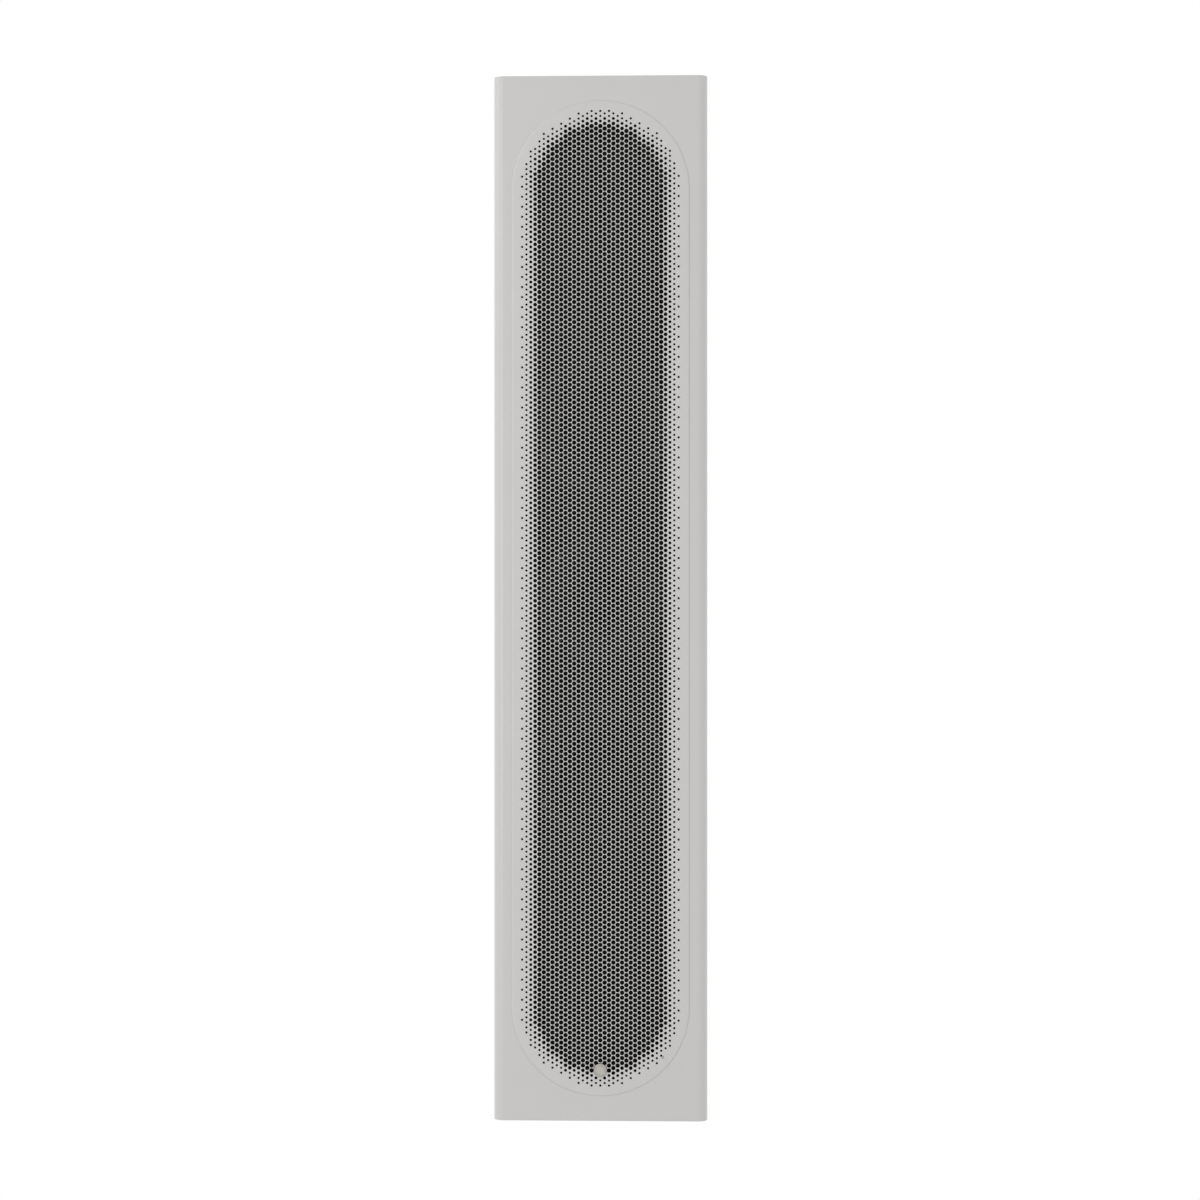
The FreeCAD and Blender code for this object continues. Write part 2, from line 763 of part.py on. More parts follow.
def stadium_prism(half_width, half_length, low, high):
    """A solid stadium between two levels."""
    straight = half_length - half_width
    right_low = FreeCAD.Vector(half_width, -straight, low)
    right_high = FreeCAD.Vector(half_width, straight, low)
    left_high = FreeCAD.Vector(-half_width, straight, low)
    left_low = FreeCAD.Vector(-half_width, -straight, low)
    edges = [Part.LineSegment(right_low, right_high),
             Part.Arc(right_high, FreeCAD.Vector(0, half_length, low), left_high),
             Part.LineSegment(left_high, left_low),
             Part.Arc(left_low, FreeCAD.Vector(0, -half_length, low), right_low)]
    outline = Part.Wire([edge.toShape() for edge in edges])
    return Part.Face(outline).extrude(FreeCAD.Vector(0, 0, high - low))


def hole_diameter_at(reach, field):
    """Diameter of a perforation at a distance from the middle line: full inside, graded at the edge."""
    full = value_of(size.hole_diameter)
    from_edge = field - reach
    fine = value_of(size.fine_band)
    band = value_of(size.grade_band)
    if from_edge > fine + 2 * band:
        return full
    if from_edge > fine + band:
        return full * GRADED_SHARES[0]
    if from_edge > fine:
        return full * GRADED_SHARES[1]
    return full * GRADED_SHARES[2]


def perforation_slots(half_width, half_length, low, high):
    """Upright slots, one set on each column of holes, with as much open area as the column's holes."""
    pitch = value_of(size.hole_pitch)
    column_pitch = pitch * math.sin(math.radians(60))
    field = half_width - value_of(size.hole_border)
    straight = half_length - half_width
    bar = value_of(size.slot_bar)
    slots = []
    last = int(field / column_pitch)
    for column in range(-last, last + 1):
        x = column * column_pitch
        diameter = hole_diameter_at(abs(x), field)
        width = math.pi * diameter * diameter / 4 / pitch
        reach = straight + math.sqrt(field * field - x * x)
        length = (2 * reach - bar * (SLOTS_PER_COLUMN - 1)) / SLOTS_PER_COLUMN
        for step in range(SLOTS_PER_COLUMN):
            corner = FreeCAD.Vector(x - width / 2, step * (length + bar) - reach, low)
            slots.append(Part.makeBox(width, length, high - low, corner))
    return slots


def make_grille():
    """A pressed steel sheet with a turned-down rim and a slotted field, its magnets and its badge."""
    half_width = value_of(at.grille_half_width)
    half_length = value_of(at.grille_half_length)
    sheet = value_of(size.grille_sheet)
    front = value_of(at.grille_front)
    back = value_of(at.grille_back)
    shell = stadium_prism(half_width, half_length, back, front)
    rim = [edge for edge in shell.Edges if edge.BoundBox.ZMin > front - 1e-6]
    shell = shell.makeFillet(value_of(size.grille_edge_radius), rim)
    shell = shell.cut(stadium_prism(half_width - sheet, half_length - sheet, back, front - sheet))
    slots = perforation_slots(half_width, half_length, front - 2 * sheet, front + sheet)
    grille = doc.addObject("Part::Feature", "grille")
    grille.Label = "grille"
    grille.Shape = shell.cut(Part.makeCompound(slots))
    grille.Placement = FreeCAD.Placement(FreeCAD.Vector(), TURN)
    sub_parts.append(grille)

    magnets = new_body("grille_magnets")
    pad(magnets, rounds(magnet_spots(), size.magnet_disc_radius), size.magnet_disc_thickness,
        at.baffle_front, back=True)

    radius = size.badge_radius
    floor = size.badge_floor
    rim_foot = radius - size.badge_rim
    bevel = size.badge_bevel
    y = size.hole_border + size.hole_pitch * size.badge_rows - at.grille_half_length
    turned("grille_badge",
           [(0, 0), (radius, 0), (radius, size.badge_height - bevel), (radius - bevel, size.badge_height),
            (rim_foot + bevel, size.badge_height), (rim_foot, floor), (0, floor)],
           0, y, at.grille_front)


def make_woofer_frame(side, y):
    """Cast basket with its windows, and the gasket under its flange."""
    flange = size.woofer_flange_radius
    step_wall = at.basket_inner + size.surround_lip + size.glue_gap
    ledge_inner = at.ledge_outer - size.spider_ledge
    foot = -size.basket_depth
    outline = [(step_wall, 0), (step_wall, -size.surround_step), (at.basket_inner, -size.surround_step),
               (at.basket_inner, -size.woofer_flange_thickness), (at.ledge_outer, at.spider_level),
               (ledge_inner, at.spider_level), (ledge_inner, foot + size.basket_foot_thickness),
               (size.basket_hole_radius, foot + size.basket_foot_thickness),
               (size.basket_hole_radius, foot), (size.basket_foot_radius, foot),
               (at.basket_waist, at.spider_level),
               (at.basket_outer, -size.woofer_flange_thickness),
               (flange, -size.woofer_flange_thickness), (flange, 0)]
    basket = turned(f"{side}_woofer_basket", outline, 0, y, at.baffle_front)
    inner = at.basket_waist + size.basket_wall
    outer = at.basket_inner - size.basket_wall
    angle = math.radians(BASKET_WINDOW_HALF_ANGLE)
    across = math.cos(angle)
    up = math.sin(angle)
    window = [(inner * across, inner * -up), (outer * across, outer * -up, outer),
              (outer * across, outer * up), (inner * across, inner * up, -inner)]
    opening = cut(basket, [window], size.basket_depth, -size.woofer_flange_thickness, back=True)
    repeat_round(basket, opening, BASKET_WINDOWS)
    hole = size.driver_screw_radius + size.screw_clearance
    holes = rounds(spots_round(at.woofer_screw_circle, WOOFER_SCREWS), hole)
    cut(basket, holes, size.woofer_flange_thickness, 0, back=True)
    below = -size.woofer_flange_thickness
    gasket = ring(f"{side}_woofer_gasket", at.woofer_cutout + size.flange_gap, flange,
                  below - size.gasket_thickness, below, y, at.baffle_front)
    cut(gasket, holes, size.gasket_thickness, below, back=True)


def make_woofer_moving_parts(side, y):
    """Rubber surround, paper cone, dust cap, cloth spider and voice coil."""
    skin = size.surround_thickness
    step = -size.surround_step
    lip = step + skin
    roll = size.surround_roll / 2
    under = roll - skin
    crown = at.basket_inner - roll
    outer = at.basket_inner + size.surround_lip
    turned(f"{side}_woofer_surround",
           [(outer, step), (outer, lip), (at.basket_inner, lip, roll), (crown, lip + roll, roll),
            (at.roll_inner, lip), (at.surround_inner, lip), (at.surround_inner, step),
            (crown - under, step), (crown - under, lip, -under), (crown, lip + under, -under),
            (crown + under, lip), (crown + under, step)],
           0, y, at.baffle_front)

    neck = at.cone_neck
    paper = size.cone_thickness
    front = at.cone_front
    foot = at.cone_foot
    turned(f"{side}_woofer_cone",
           [(neck, foot - size.cone_collar), (neck + paper, foot - size.cone_collar),
            (neck + paper, foot - paper), (at.surround_inner + paper / 2, front - paper),
            (at.cone_rim, front - paper), (at.cone_rim, front), (at.surround_inner, front), (neck, foot)],
           0, y, at.baffle_front)

    cap = size.dust_cap_radius
    slope = (front - foot) / (at.surround_inner - neck)
    seat = foot + (cap - neck) * slope + size.glue_gap
    height = size.dust_cap_height
    inner = cap - paper
    inner_height = height - paper
    turned(f"{side}_woofer_dust_cap",
           [(inner, seat), (cap, seat, (cap * cap + height * height) / (height * 2)), (0, seat + height),
            (0, seat + inner_height, (inner * inner + inner_height * inner_height) / (inner_height * -2))],
           0, y, at.baffle_front)

    make_spider(side, y)

    coil = size.former_radius
    middle = -size.basket_depth - size.top_plate_thickness / 2
    low = middle - size.winding_length / 2
    high = middle + size.winding_length / 2
    bare = coil - size.former_wall
    turned(f"{side}_woofer_voice_coil",
           [(bare, low - size.former_wall), (coil, low - size.former_wall), (coil, low),
            (at.coil_outer, low), (at.coil_outer, high), (coil, high), (coil, foot), (bare, foot)],
           0, y, at.baffle_front)


def make_spider(side, y):
    """A corrugated cloth disc between the basket's ledge and the voice coil."""
    cloth = size.spider_thickness
    low = at.spider_level
    high = low + cloth
    inner = at.cone_neck
    outer = at.ledge_outer - size.glue_gap
    wave_inner = inner + size.cone_collar
    wave_outer = at.ledge_outer - size.spider_ledge - size.basket_wall / 2
    half_wave = (wave_outer - wave_inner) / SPIDER_HALF_WAVES
    bend = half_wave * ROLL_BEND
    above = [(outer, low), (outer, high)]
    below = [(inner, high), (inner, low)]
    for number in range(SPIDER_HALF_WAVES):
        sign = 1 if number % 2 == 0 else -1
        above.append((wave_outer - half_wave * number, high, bend * sign))
        below.append((wave_inner + half_wave * number, low, bend * sign))
    above.append((wave_inner, high))
    below.append((wave_outer, low))
    turned(f"{side}_woofer_spider", above + below, 0, y, at.baffle_front)


def make_woofer_motor(side, y):
    """Top plate, ferrite ring and vented yoke, stacked behind the basket."""
    plate_back = -size.basket_depth - size.top_plate_thickness
    magnet_back = plate_back - size.magnet_thickness
    ring(f"{side}_woofer_top_plate", at.coil_outer + size.coil_clearance, size.top_plate_radius,
         plate_back, -size.basket_depth, y, at.baffle_front)
    ring(f"{side}_woofer_magnet", size.magnet_hole_radius, size.magnet_radius, magnet_back, plate_back, y,
         at.baffle_front)
    pole = size.former_radius - size.former_wall - size.coil_clearance
    yoke_back = magnet_back - size.back_plate_thickness
    turned(f"{side}_woofer_yoke",
           [(size.pole_vent_radius, yoke_back), (size.top_plate_radius, yoke_back),
            (size.top_plate_radius, magnet_back), (pole, magnet_back), (pole, -size.basket_depth),
            (size.pole_vent_radius, -size.basket_depth)],
           0, y, at.baffle_front)


def make_tweeter():
    """Horn plate, soft dome with its coil, and the ring-magnet motor behind them."""
    z = at.baffle_front
    rim = size.tweeter_plate_radius
    back = -size.tweeter_plate_thickness
    throat = at.roll_outer + size.throat_gap
    lip = at.tweeter_lip
    cloth = size.dome_thickness
    seat = at.tweeter_seat
    shoulder = seat + cloth + size.dome_clearance
    cutout = at.tweeter_cutout
    horn = turned("tweeter_waveguide",
                  [(rim, back), (rim, 0), (size.horn_mouth_radius, 0, size.horn_curve_radius),
                   (throat, -size.horn_depth), (throat, shoulder), (lip + size.glue_gap, shoulder),
                   (lip + size.glue_gap, seat), (cutout - size.flange_gap - size.horn_taper, seat),
                   (cutout - size.flange_gap, back)], 0, 0, z)
    holes = rounds(spots_round(at.tweeter_screw_circle, TWEETER_SCREWS),
                   size.driver_screw_radius + size.screw_clearance)
    cut(horn, holes, size.tweeter_plate_thickness, 0, back=True)
    gasket = ring("tweeter_gasket", cutout + size.flange_gap, rim, back - size.gasket_thickness, back, 0, z)
    cut(gasket, holes, size.gasket_thickness, back, back=True)

    dome = size.dome_radius
    height = size.dome_height
    inner = dome - cloth
    front = seat + cloth
    bend = size.dome_roll * ROLL_BEND
    inner_bend = (size.dome_roll - cloth * 2) * ROLL_BEND
    turned("tweeter_dome",
           [(lip, seat), (lip, front), (at.roll_outer, front, bend),
            (dome, front, (dome * dome + height * height) / (height * 2)), (0, front + height),
            (0, front + height - cloth, (inner * inner + height * height) / (height * -2)),
            (inner, seat), (dome + cloth, seat, -inner_bend), (at.roll_outer - cloth, seat)],
           0, 0, z)

    wall = size.tweeter_coil_wall
    coil_outer = dome + wall / 2
    coil_front = seat - size.dome_clearance
    ring("tweeter_voice_coil", coil_outer - wall, coil_outer, coil_front - size.tweeter_coil_length,
         coil_front, 0, z)
    steel = size.tweeter_steel
    motor = size.tweeter_motor_radius
    ring("tweeter_top_plate", coil_outer + size.tweeter_coil_clearance, motor, seat - steel, seat, 0, z)
    magnet_back = seat - steel - size.tweeter_magnet_thickness
    ring("tweeter_magnet", size.tweeter_magnet_hole_radius, motor, magnet_back, seat - steel, 0, z)
    pole = coil_outer - wall - size.tweeter_coil_clearance
    turned("tweeter_yoke",
           [(0, magnet_back - steel), (size.tweeter_back_radius, magnet_back - steel),
            (size.tweeter_back_radius, magnet_back), (pole, magnet_back),
            (pole, seat - size.tweeter_pole_setback), (0, seat - size.tweeter_pole_setback)], 0, 0, z)


def make_driver_tags():
    """A strip with two solder tags below each driver: on the baskets and on the tweeter's motor."""
    body = new_body("driver_tags")
    level = at.baffle_front + at.spider_level
    places = [(y - at.basket_waist - size.glue_gap, level) for side, y in WOOFERS]
    places.append((-size.tweeter_motor_radius - size.glue_gap, at.baffle_front + at.tweeter_seat))
    thickness = size.tag_strip_thickness
    for top, high in places:
        strip = rectangle(0, top - thickness / 2, size.tag_strip_width, thickness)
        pad(body, [strip], size.tag_strip_height, high, back=True)
        blade_y = top - thickness - size.tag_length / 2
        blades = [rectangle(size.tag_spacing / 2 * side, blade_y, size.tag_width, size.tag_length)
                  for side in (-1, 1)]
        blade_high = high - size.tag_strip_height / 2
        pad(body, blades, size.tag_thickness, blade_high, back=True)


def make_crossover():
    """Filter board on spacers inside the rear panel, with its coils, capacitors and resistor."""
    hole = size.small_screw_radius + size.screw_clearance
    board = new_body("crossover_board")
    pad(board, [rectangle(0, 0, size.board_width, size.board_height)], size.board_thickness, at.board_back)
    cut(board, rounds(board_screw_spots(), hole), size.board_thickness, at.board_back)
    spacers = new_body("crossover_spacers")
    pad(spacers, rounds(board_screw_spots(), size.spacer_radius) + rounds(board_screw_spots(), hole),
        size.spacer_height, size.rear_thickness)
    screws("crossover_screws", board_screw_spots(), at.board_front, small_screw,
           size.board_thickness + size.spacer_height + size.small_screw_length, heads_front=True)

    clear = size.board_screw_inset + size.small_screw_head_radius + size.board_part_margin
    x = size.board_width / 2 - clear - size.large_capacitor_length / 2
    ring_on_board("woofer_inductor", -x, -size.large_coil_drop, size.large_coil_hole,
                  size.large_coil_radius, size.large_coil_height)
    ring_on_board("tweeter_inductor", x, size.small_coil_rise, size.small_coil_hole,
                  size.small_coil_radius, size.small_coil_height)
    capacitors = new_body("crossover_capacitors")
    sets = ((size.large_capacitor_radius, size.large_capacitor_length, size.large_capacitor_rise, -x),
            (size.small_capacitor_radius, size.small_capacitor_length, -size.small_capacitor_drop, x))
    for radius, length, y, middle in sets:
        lying = [Round(y, at.board_front + radius + size.glue_gap, radius)]
        pad(capacitors, lying, length, middle - length / 2, plane="YZ_Plane")
    resistor = new_body("crossover_resistor")
    side = size.resistor_side
    pad(resistor, [rectangle(x, -size.resistor_drop, size.resistor_length, side)], side, at.board_front)


def ring_on_board(label, x, y, inner, outer, height):
    """A wound coil that stands on the crossover board."""
    outline = [(inner, 0), (outer, 0), (outer, height), (inner, height)]
    return turned(label, outline, x, y, at.board_front)


def make_terminals():
    """Recessed cup with two binding posts: bored studs, their nuts and the fluted caps."""
    y = at.cup_y
    gap = size.screw_clearance
    cup = new_body("terminal_cup")
    flange = rounded_rectangle(0, y, size.cup_flange_width, size.cup_flange_height, size.cup_corner_radius)
    box = rounded_rectangle(0, y, size.cup_width, size.cup_height, size.cup_corner_radius)
    inside = rounded_rectangle(0, y, size.cup_width - size.cup_wall * 2,
                               size.cup_height - size.cup_wall * 2, size.cup_corner_radius - size.cup_wall)
    pad(cup, [flange], size.cup_flange_thickness)
    pad(cup, [box], size.cup_depth)
    cut(cup, [inside], at.cup_floor)
    cut(cup, rounds(post_spots(), size.post_radius + gap), size.cup_wall, at.cup_floor)
    cut(cup, rounds(cup_screw_spots(), size.small_screw_radius + gap), size.cup_flange_thickness)

    posts = new_body("binding_posts")
    top = size.cup_depth + size.post_inner_length
    collar_low = at.cup_floor - size.post_collar_thickness
    pad(posts, rounds(post_spots(), size.post_collar_radius), size.post_collar_thickness, collar_low)
    pad(posts, rounds(post_spots(), size.post_radius), top - size.post_recess, size.post_recess)
    cut(posts, rounds(post_spots(), size.post_bore_radius), size.post_bore_depth, size.post_recess)

    nuts = new_body("post_nuts")
    outlines = []
    corner = size.nut_flats / math.sqrt(3)
    for x, middle in post_spots():
        turns = [math.radians(60 * number) for number in range(6)]
        outlines.append([(corner * math.cos(turn) + x, corner * math.sin(turn) + middle) for turn in turns])
    pad(nuts, outlines + rounds(post_spots(), size.post_radius + gap), size.nut_thickness, size.cup_depth)

    cap_low = size.post_recess - size.post_cap_end_wall - size.post_cap_clearance
    cap_high = collar_low - size.post_cap_clearance
    for label, (x, middle) in zip(("red_post_cap", "black_post_cap"), post_spots()):
        make_post_cap(label, x, middle, cap_low, cap_high)


def make_post_cap(label, x, y, low, high):
    """A fluted screw cap, open at its end for a plug."""
    radius = size.post_cap_radius
    chamfer = size.post_cap_chamfer
    shelf = low + size.post_cap_end_wall
    bore = size.post_radius + size.post_cap_clearance
    cap = turned(label,
                 [(size.post_cap_mouth_radius, low), (radius - chamfer, low), (radius, low + chamfer),
                  (radius, high), (bore, high), (bore, shelf), (size.post_cap_mouth_radius, shelf)],
                 x, y)
    flute_middle = radius + size.post_flute_radius - size.post_flute_depth
    flute = cut(cap, [Round(flute_middle, 0, size.post_flute_radius)], high - low, low)
    repeat_round(cap, flute, CAP_FLUTES)


def cable(points, radius):
    """A cable along straight runs joined by tangent arcs, each as large as its two runs allow."""
    knots = [FreeCAD.Vector(*point) for point in points]
    edges = []
    here = knots[0]
    for before, corner, after in zip(knots, knots[1:], knots[2:]):
        back = (before - corner).normalize()
        ahead = (after - corner).normalize()
        half_turn = (math.pi - back.getAngle(ahead)) / 2
        run = min((before - corner).Length, (after - corner).Length)
        bend = BEND_SHARE * run / math.tan(half_turn)
        enter = corner + back * BEND_SHARE * run
        leave = corner + ahead * BEND_SHARE * run
        inward = (back + ahead).normalize()
        crown = corner + inward * (bend / math.cos(half_turn) - bend)
        edges += [Part.LineSegment(here, enter).toShape(), Part.Arc(enter, crown, leave).toShape()]
        here = leave
    edges.append(Part.LineSegment(here, knots[-1]).toShape())
    path = Part.Wire(edges)
    section = Part.Wire([Part.makeCircle(radius, knots[0], knots[1] - knots[0])])
    tube = path.makePipeShell([section], True, False)
    expected = math.pi * radius * radius * path.Length
    if abs(tube.Volume - expected) > 0.01 * expected:
        raise RuntimeError("a cable's volume does not match its length")
    return tube


def mix(start, end, share):
    """A value part of the way from one to another."""
    return start + (end - start) * share


def make_lead(label, routes):
    """One or more inner cables along routes in the front frame."""
    radius = value_of(size.lead_radius)
    tubes = [cable([[value_of(number) for number in point] for point in points], radius)
             for points in routes]
    feature = doc.addObject("Part::Feature", label)
    feature.Label = label
    feature.Shape = tubes[0] if len(tubes) == 1 else Part.makeCompound(tubes)
    feature.Placement = FreeCAD.Placement(FreeCAD.Vector(), TURN)
    sub_parts.append(feature)


def make_leads():
    """Cables from the posts to the filter board, and from the board to each driver's tags."""
    step = size.lead_step
    lane = at.inner_width / 2 - size.batten - size.lane_margin
    lane_z = at.batten_front
    brace_z = at.brace_level
    board_x = size.board_width / 2
    board_y = size.board_height / 2
    board_z = at.board_front + size.lead_radius + size.glue_gap * 2
    post = size.post_spacing / 2
    post_y = at.cup_y + size.post_radius + size.lead_end_gap
    post_z = size.cup_depth + size.nut_thickness + size.lead_radius * 1.5
    lower = -size.woofer_offset
    turn_y = lower - step * 8.2
    tag = size.tag_spacing / 2
    end_gap = size.lead_end_gap
    woofer_tag_y = size.woofer_offset - at.basket_waist - at.tag_reach
    woofer_tag_z = at.baffle_front + at.spider_level + at.tag_level
    lower_tag_y = lower - at.basket_waist - at.tag_reach
    tweeter_tag_y = -size.tweeter_motor_radius - at.tag_reach
    tweeter_tag_z = at.baffle_front + at.tweeter_seat + at.tag_level

    make_lead("input_leads", [
        [(post, post_y, post_z),
         (post + step * 0.35, mix(at.cup_y, turn_y, 0.12), mix(post_z, lane_z, 0.16)),
         (post + step * 1.65, mix(at.cup_y, turn_y, 0.28), mix(post_z, lane_z, 0.56)),
         (lane - step * 2.6, mix(at.cup_y, turn_y, 0.47), mix(post_z, lane_z, 0.96)),
         (lane - step, mix(at.cup_y, turn_y, 0.71), lane_z),
         (lane - step * 0.25, turn_y, lane_z),
         (lane - step * 0.05, lower - step * 3, mix(lane_z, brace_z, 0.1)),
         (lane, lower + step * 2.2, mix(lane_z, brace_z, 0.35)),
         (lane - step * 0.15, lower + step * 6.8, mix(lane_z, brace_z, 0.68)),
         (board_x + step * 0.8, -board_y - step * 2.8, mix(lane_z, brace_z, 0.63)),
         (board_x - step * 0.3, -board_y - step * 0.9, mix(board_z, brace_z, 0.35)),
         (board_x - step * 1.2, -board_y + step * 0.2, board_z)],
        [(-post, post_y, post_z),
         (-post + step * 0.55, mix(at.cup_y, turn_y, 0.12), mix(post_z, brace_z, 0.17)),
         (step, mix(at.cup_y, turn_y, 0.27), post_z),
         (lane - step * 3.9, mix(at.cup_y, turn_y, 0.435), mix(lane_z, brace_z, 0.52)),
         (lane - step * 1.65, mix(at.cup_y, turn_y, 0.65), mix(lane_z, brace_z, 0.35)),
         (lane - step * 0.45, turn_y - step * 0.8, mix(lane_z, brace_z, 0.35)),
         (lane - step * 0.05, lower - step * 3.8, mix(lane_z, brace_z, 0.46)),
         (lane, lower + step * 1.4, mix(lane_z, brace_z, 0.73)),
         (lane - step * 0.15, lower + step * 6.2, mix(lane_z, brace_z, 1.06)),
         (board_x + step * 0.6, -board_y - step * 3.3, mix(lane_z, brace_z, 0.95)),
         (board_x - step, -board_y - step * 1.4, mix(lane_z, brace_z, 0.52)),
         (board_x - step * 1.9, -board_y - step * 0.5, mix(board_z, brace_z, 0.32)),
         (board_x - step * 2.4, -board_y + step * 0.4, board_z)]])
    make_lead("woofer_leads", [
        [(-board_x + step * 1.3, -board_y + step * 0.25, board_z),
         (-board_x + step * 0.6, -board_y - step * 0.8, mix(board_z, brace_z, 0.28)),
         (-board_x - step * 0.6, -board_y - step * 2.8, mix(lane_z, brace_z, 0.57)),
         (-lane + step * 0.2, lower + step * 7, mix(lane_z, brace_z, 0.73)),
         (-lane, lower + step * 2.4, mix(lane_z, brace_z, 0.68)),
         (-lane + step * 0.65, lower - step * 2, mix(lane_z, brace_z, 0.73)),
         (-lane + step * 2.2, lower_tag_y + step * 0.7, mix(lane_z, brace_z, 0.9)),
         (step * -3, lower_tag_y - step * 0.6, mix(brace_z, woofer_tag_z, 0.45)),
         (step * -1.4, lower_tag_y - step * 1.1, woofer_tag_z),
         (step * -0.7, lower_tag_y - step, woofer_tag_z),
         (-tag, lower_tag_y - end_gap, woofer_tag_z)],
        [(board_x - step * 1.3, board_y - step * 0.25, board_z),
         (board_x - step * 0.6, board_y + step * 0.8, mix(board_z, brace_z, 0.28)),
         (board_x + step * 0.6, board_y + step * 2.8, mix(lane_z, brace_z, 0.57)),
         (board_x + step * 0.8, board_y + step * 5.4, mix(lane_z, brace_z, 0.84)),
         (board_x - step * 0.6, woofer_tag_y - step * 1.1, brace_z),
         (step * 2.8, woofer_tag_y - step * 0.7, mix(brace_z, woofer_tag_z, 0.55)),
         (step * 1.4, woofer_tag_y - step * 1.1, woofer_tag_z),
         (step * 0.7, woofer_tag_y - step, woofer_tag_z),
         (tag, woofer_tag_y - end_gap, woofer_tag_z)]])
    make_lead("tweeter_lead", [
        [(step * -0.6, -board_y + step * 0.4, board_z),
         (step * -0.6, -board_y - step * 0.8, mix(board_z, tweeter_tag_z, 0.02)),
         (step * -0.6, tweeter_tag_y - step * 1.1, mix(board_z, tweeter_tag_z, 0.24)),
         (step * -0.6, tweeter_tag_y - step * 1.4, mix(board_z, tweeter_tag_z, 0.57)),
         (step * -0.6, tweeter_tag_y - step * 1.1, mix(board_z, tweeter_tag_z, 0.87)),
         (-tag, tweeter_tag_y - end_gap, tweeter_tag_z)]])


def write_parts():
    """Check every object, and write each piece to a file of its own."""
    doc.recompute()
    for thing in doc.Objects:
        if "Invalid" in thing.State or "Error" in thing.State:
            raise RuntimeError(f"{thing.Label} did not build")
    for piece in sub_parts:
        if piece.Shape.isNull() or not piece.Shape.isValid():
            raise RuntimeError(f"{piece.Label} has no sound shape")
    os.makedirs("parts", exist_ok=True)
    for piece in sub_parts:
        piece.Shape.exportStep(f"parts/{piece.Label}.step")
    print(f"{len(sub_parts)} pieces")


make_cabinet_shell()
make_driver_baffle()
make_rear_panel()
make_rear_frame()
make_braces_and_damping()
make_wall_fittings()
make_grille()
for woofer_side, woofer_y in WOOFERS:
    make_woofer_frame(woofer_side, woofer_y)
    make_woofer_moving_parts(woofer_side, woofer_y)
    make_woofer_motor(woofer_side, woofer_y)
make_tweeter()
screws("driver_screws", driver_screw_spots(), at.baffle_front, driver_screw, size.driver_screw_length,
       heads_front=True)
make_driver_tags()
make_crossover()
make_terminals()
make_leads()
write_parts()
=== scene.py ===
"""On-wall speaker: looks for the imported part, and the studio it is shown in.

The cabinet's skin, the pierced grille, its badge and the soft parts of the woofers are modelled
here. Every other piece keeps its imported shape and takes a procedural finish.
"""
import json
import math

import bmesh
import bpy
from bpy.props import FloatProperty, FloatVectorProperty, IntProperty, PointerProperty
from mathutils import Matrix, Vector
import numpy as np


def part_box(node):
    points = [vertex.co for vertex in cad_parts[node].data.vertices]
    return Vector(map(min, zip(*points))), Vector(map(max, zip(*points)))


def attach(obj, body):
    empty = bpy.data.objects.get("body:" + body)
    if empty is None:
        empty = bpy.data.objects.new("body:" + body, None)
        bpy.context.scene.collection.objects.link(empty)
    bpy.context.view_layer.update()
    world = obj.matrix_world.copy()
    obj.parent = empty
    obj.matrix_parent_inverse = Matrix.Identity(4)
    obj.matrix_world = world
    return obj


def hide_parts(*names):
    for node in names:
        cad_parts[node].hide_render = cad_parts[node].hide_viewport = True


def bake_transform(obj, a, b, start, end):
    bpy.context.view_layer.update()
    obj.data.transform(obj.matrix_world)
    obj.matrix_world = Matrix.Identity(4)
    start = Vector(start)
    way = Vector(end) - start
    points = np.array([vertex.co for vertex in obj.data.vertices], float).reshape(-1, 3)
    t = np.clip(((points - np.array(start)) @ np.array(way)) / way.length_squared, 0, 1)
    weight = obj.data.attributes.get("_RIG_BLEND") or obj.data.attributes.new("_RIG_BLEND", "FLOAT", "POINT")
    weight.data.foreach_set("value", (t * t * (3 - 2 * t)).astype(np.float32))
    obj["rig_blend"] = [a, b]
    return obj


bl_info = {
    "name": "On-wall speaker",
    "version": (1, 0, 0),
    "blender": (4, 5, 0),
    "location": "3D View > Sidebar > Speaker",
    "description": "Builds the looks of an on-wall speaker and its studio",
    "category": "Add Mesh",
}

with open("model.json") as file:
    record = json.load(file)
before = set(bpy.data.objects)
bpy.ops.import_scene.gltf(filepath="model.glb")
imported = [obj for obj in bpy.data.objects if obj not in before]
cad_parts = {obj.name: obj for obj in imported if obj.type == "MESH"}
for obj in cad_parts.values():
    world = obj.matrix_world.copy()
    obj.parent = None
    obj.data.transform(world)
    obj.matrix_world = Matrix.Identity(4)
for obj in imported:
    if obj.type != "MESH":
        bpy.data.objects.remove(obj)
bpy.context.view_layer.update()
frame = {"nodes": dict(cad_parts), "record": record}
MM = 0.001
SHARP_ANGLE = math.radians(32)
WOOFERS = ("upper", "lower")
# Distances under which vertices are one, for turned pieces, the grille's cells and its cuts
SAME_PLACE = 1e-6
CELL_MERGE = 2e-5
CUT_MERGE = 1e-7
# Least share of a normal along an axis for a flat face
FLAT_SHARE = 0.999
# Lattice of the grille: sides of a cell, blank reach round the badge in pitches, columns with one
# hole less at each end, and how far that hole's row lies below the column's number
HEX_SIDES = 6
BADGE_CLEAR = 1.2
THINNED_COLUMNS = range(6, 13, 2)
THINNED_SHIFT = 4
# Shaders: middle range of a noise, period of a wave at scale 1, stretch of brushed metal, strength of
# the relief, and how much and how finely the gloss drifts
NOISE_LOW = 0.3
NOISE_HIGH = 0.7
WAVE_PERIOD = math.pi / 10
BRUSH_STRETCH = 0.06
BUMP_STRENGTH = 0.6
GLOSS_DRIFT = 0.08
GLOSS_SCALE = 0.3
# Studio: half the floor's width, the camera's sensor in millimetres and the end of its view
FLOOR_REACH = 30
SENSOR = 36
VIEW_END = 100


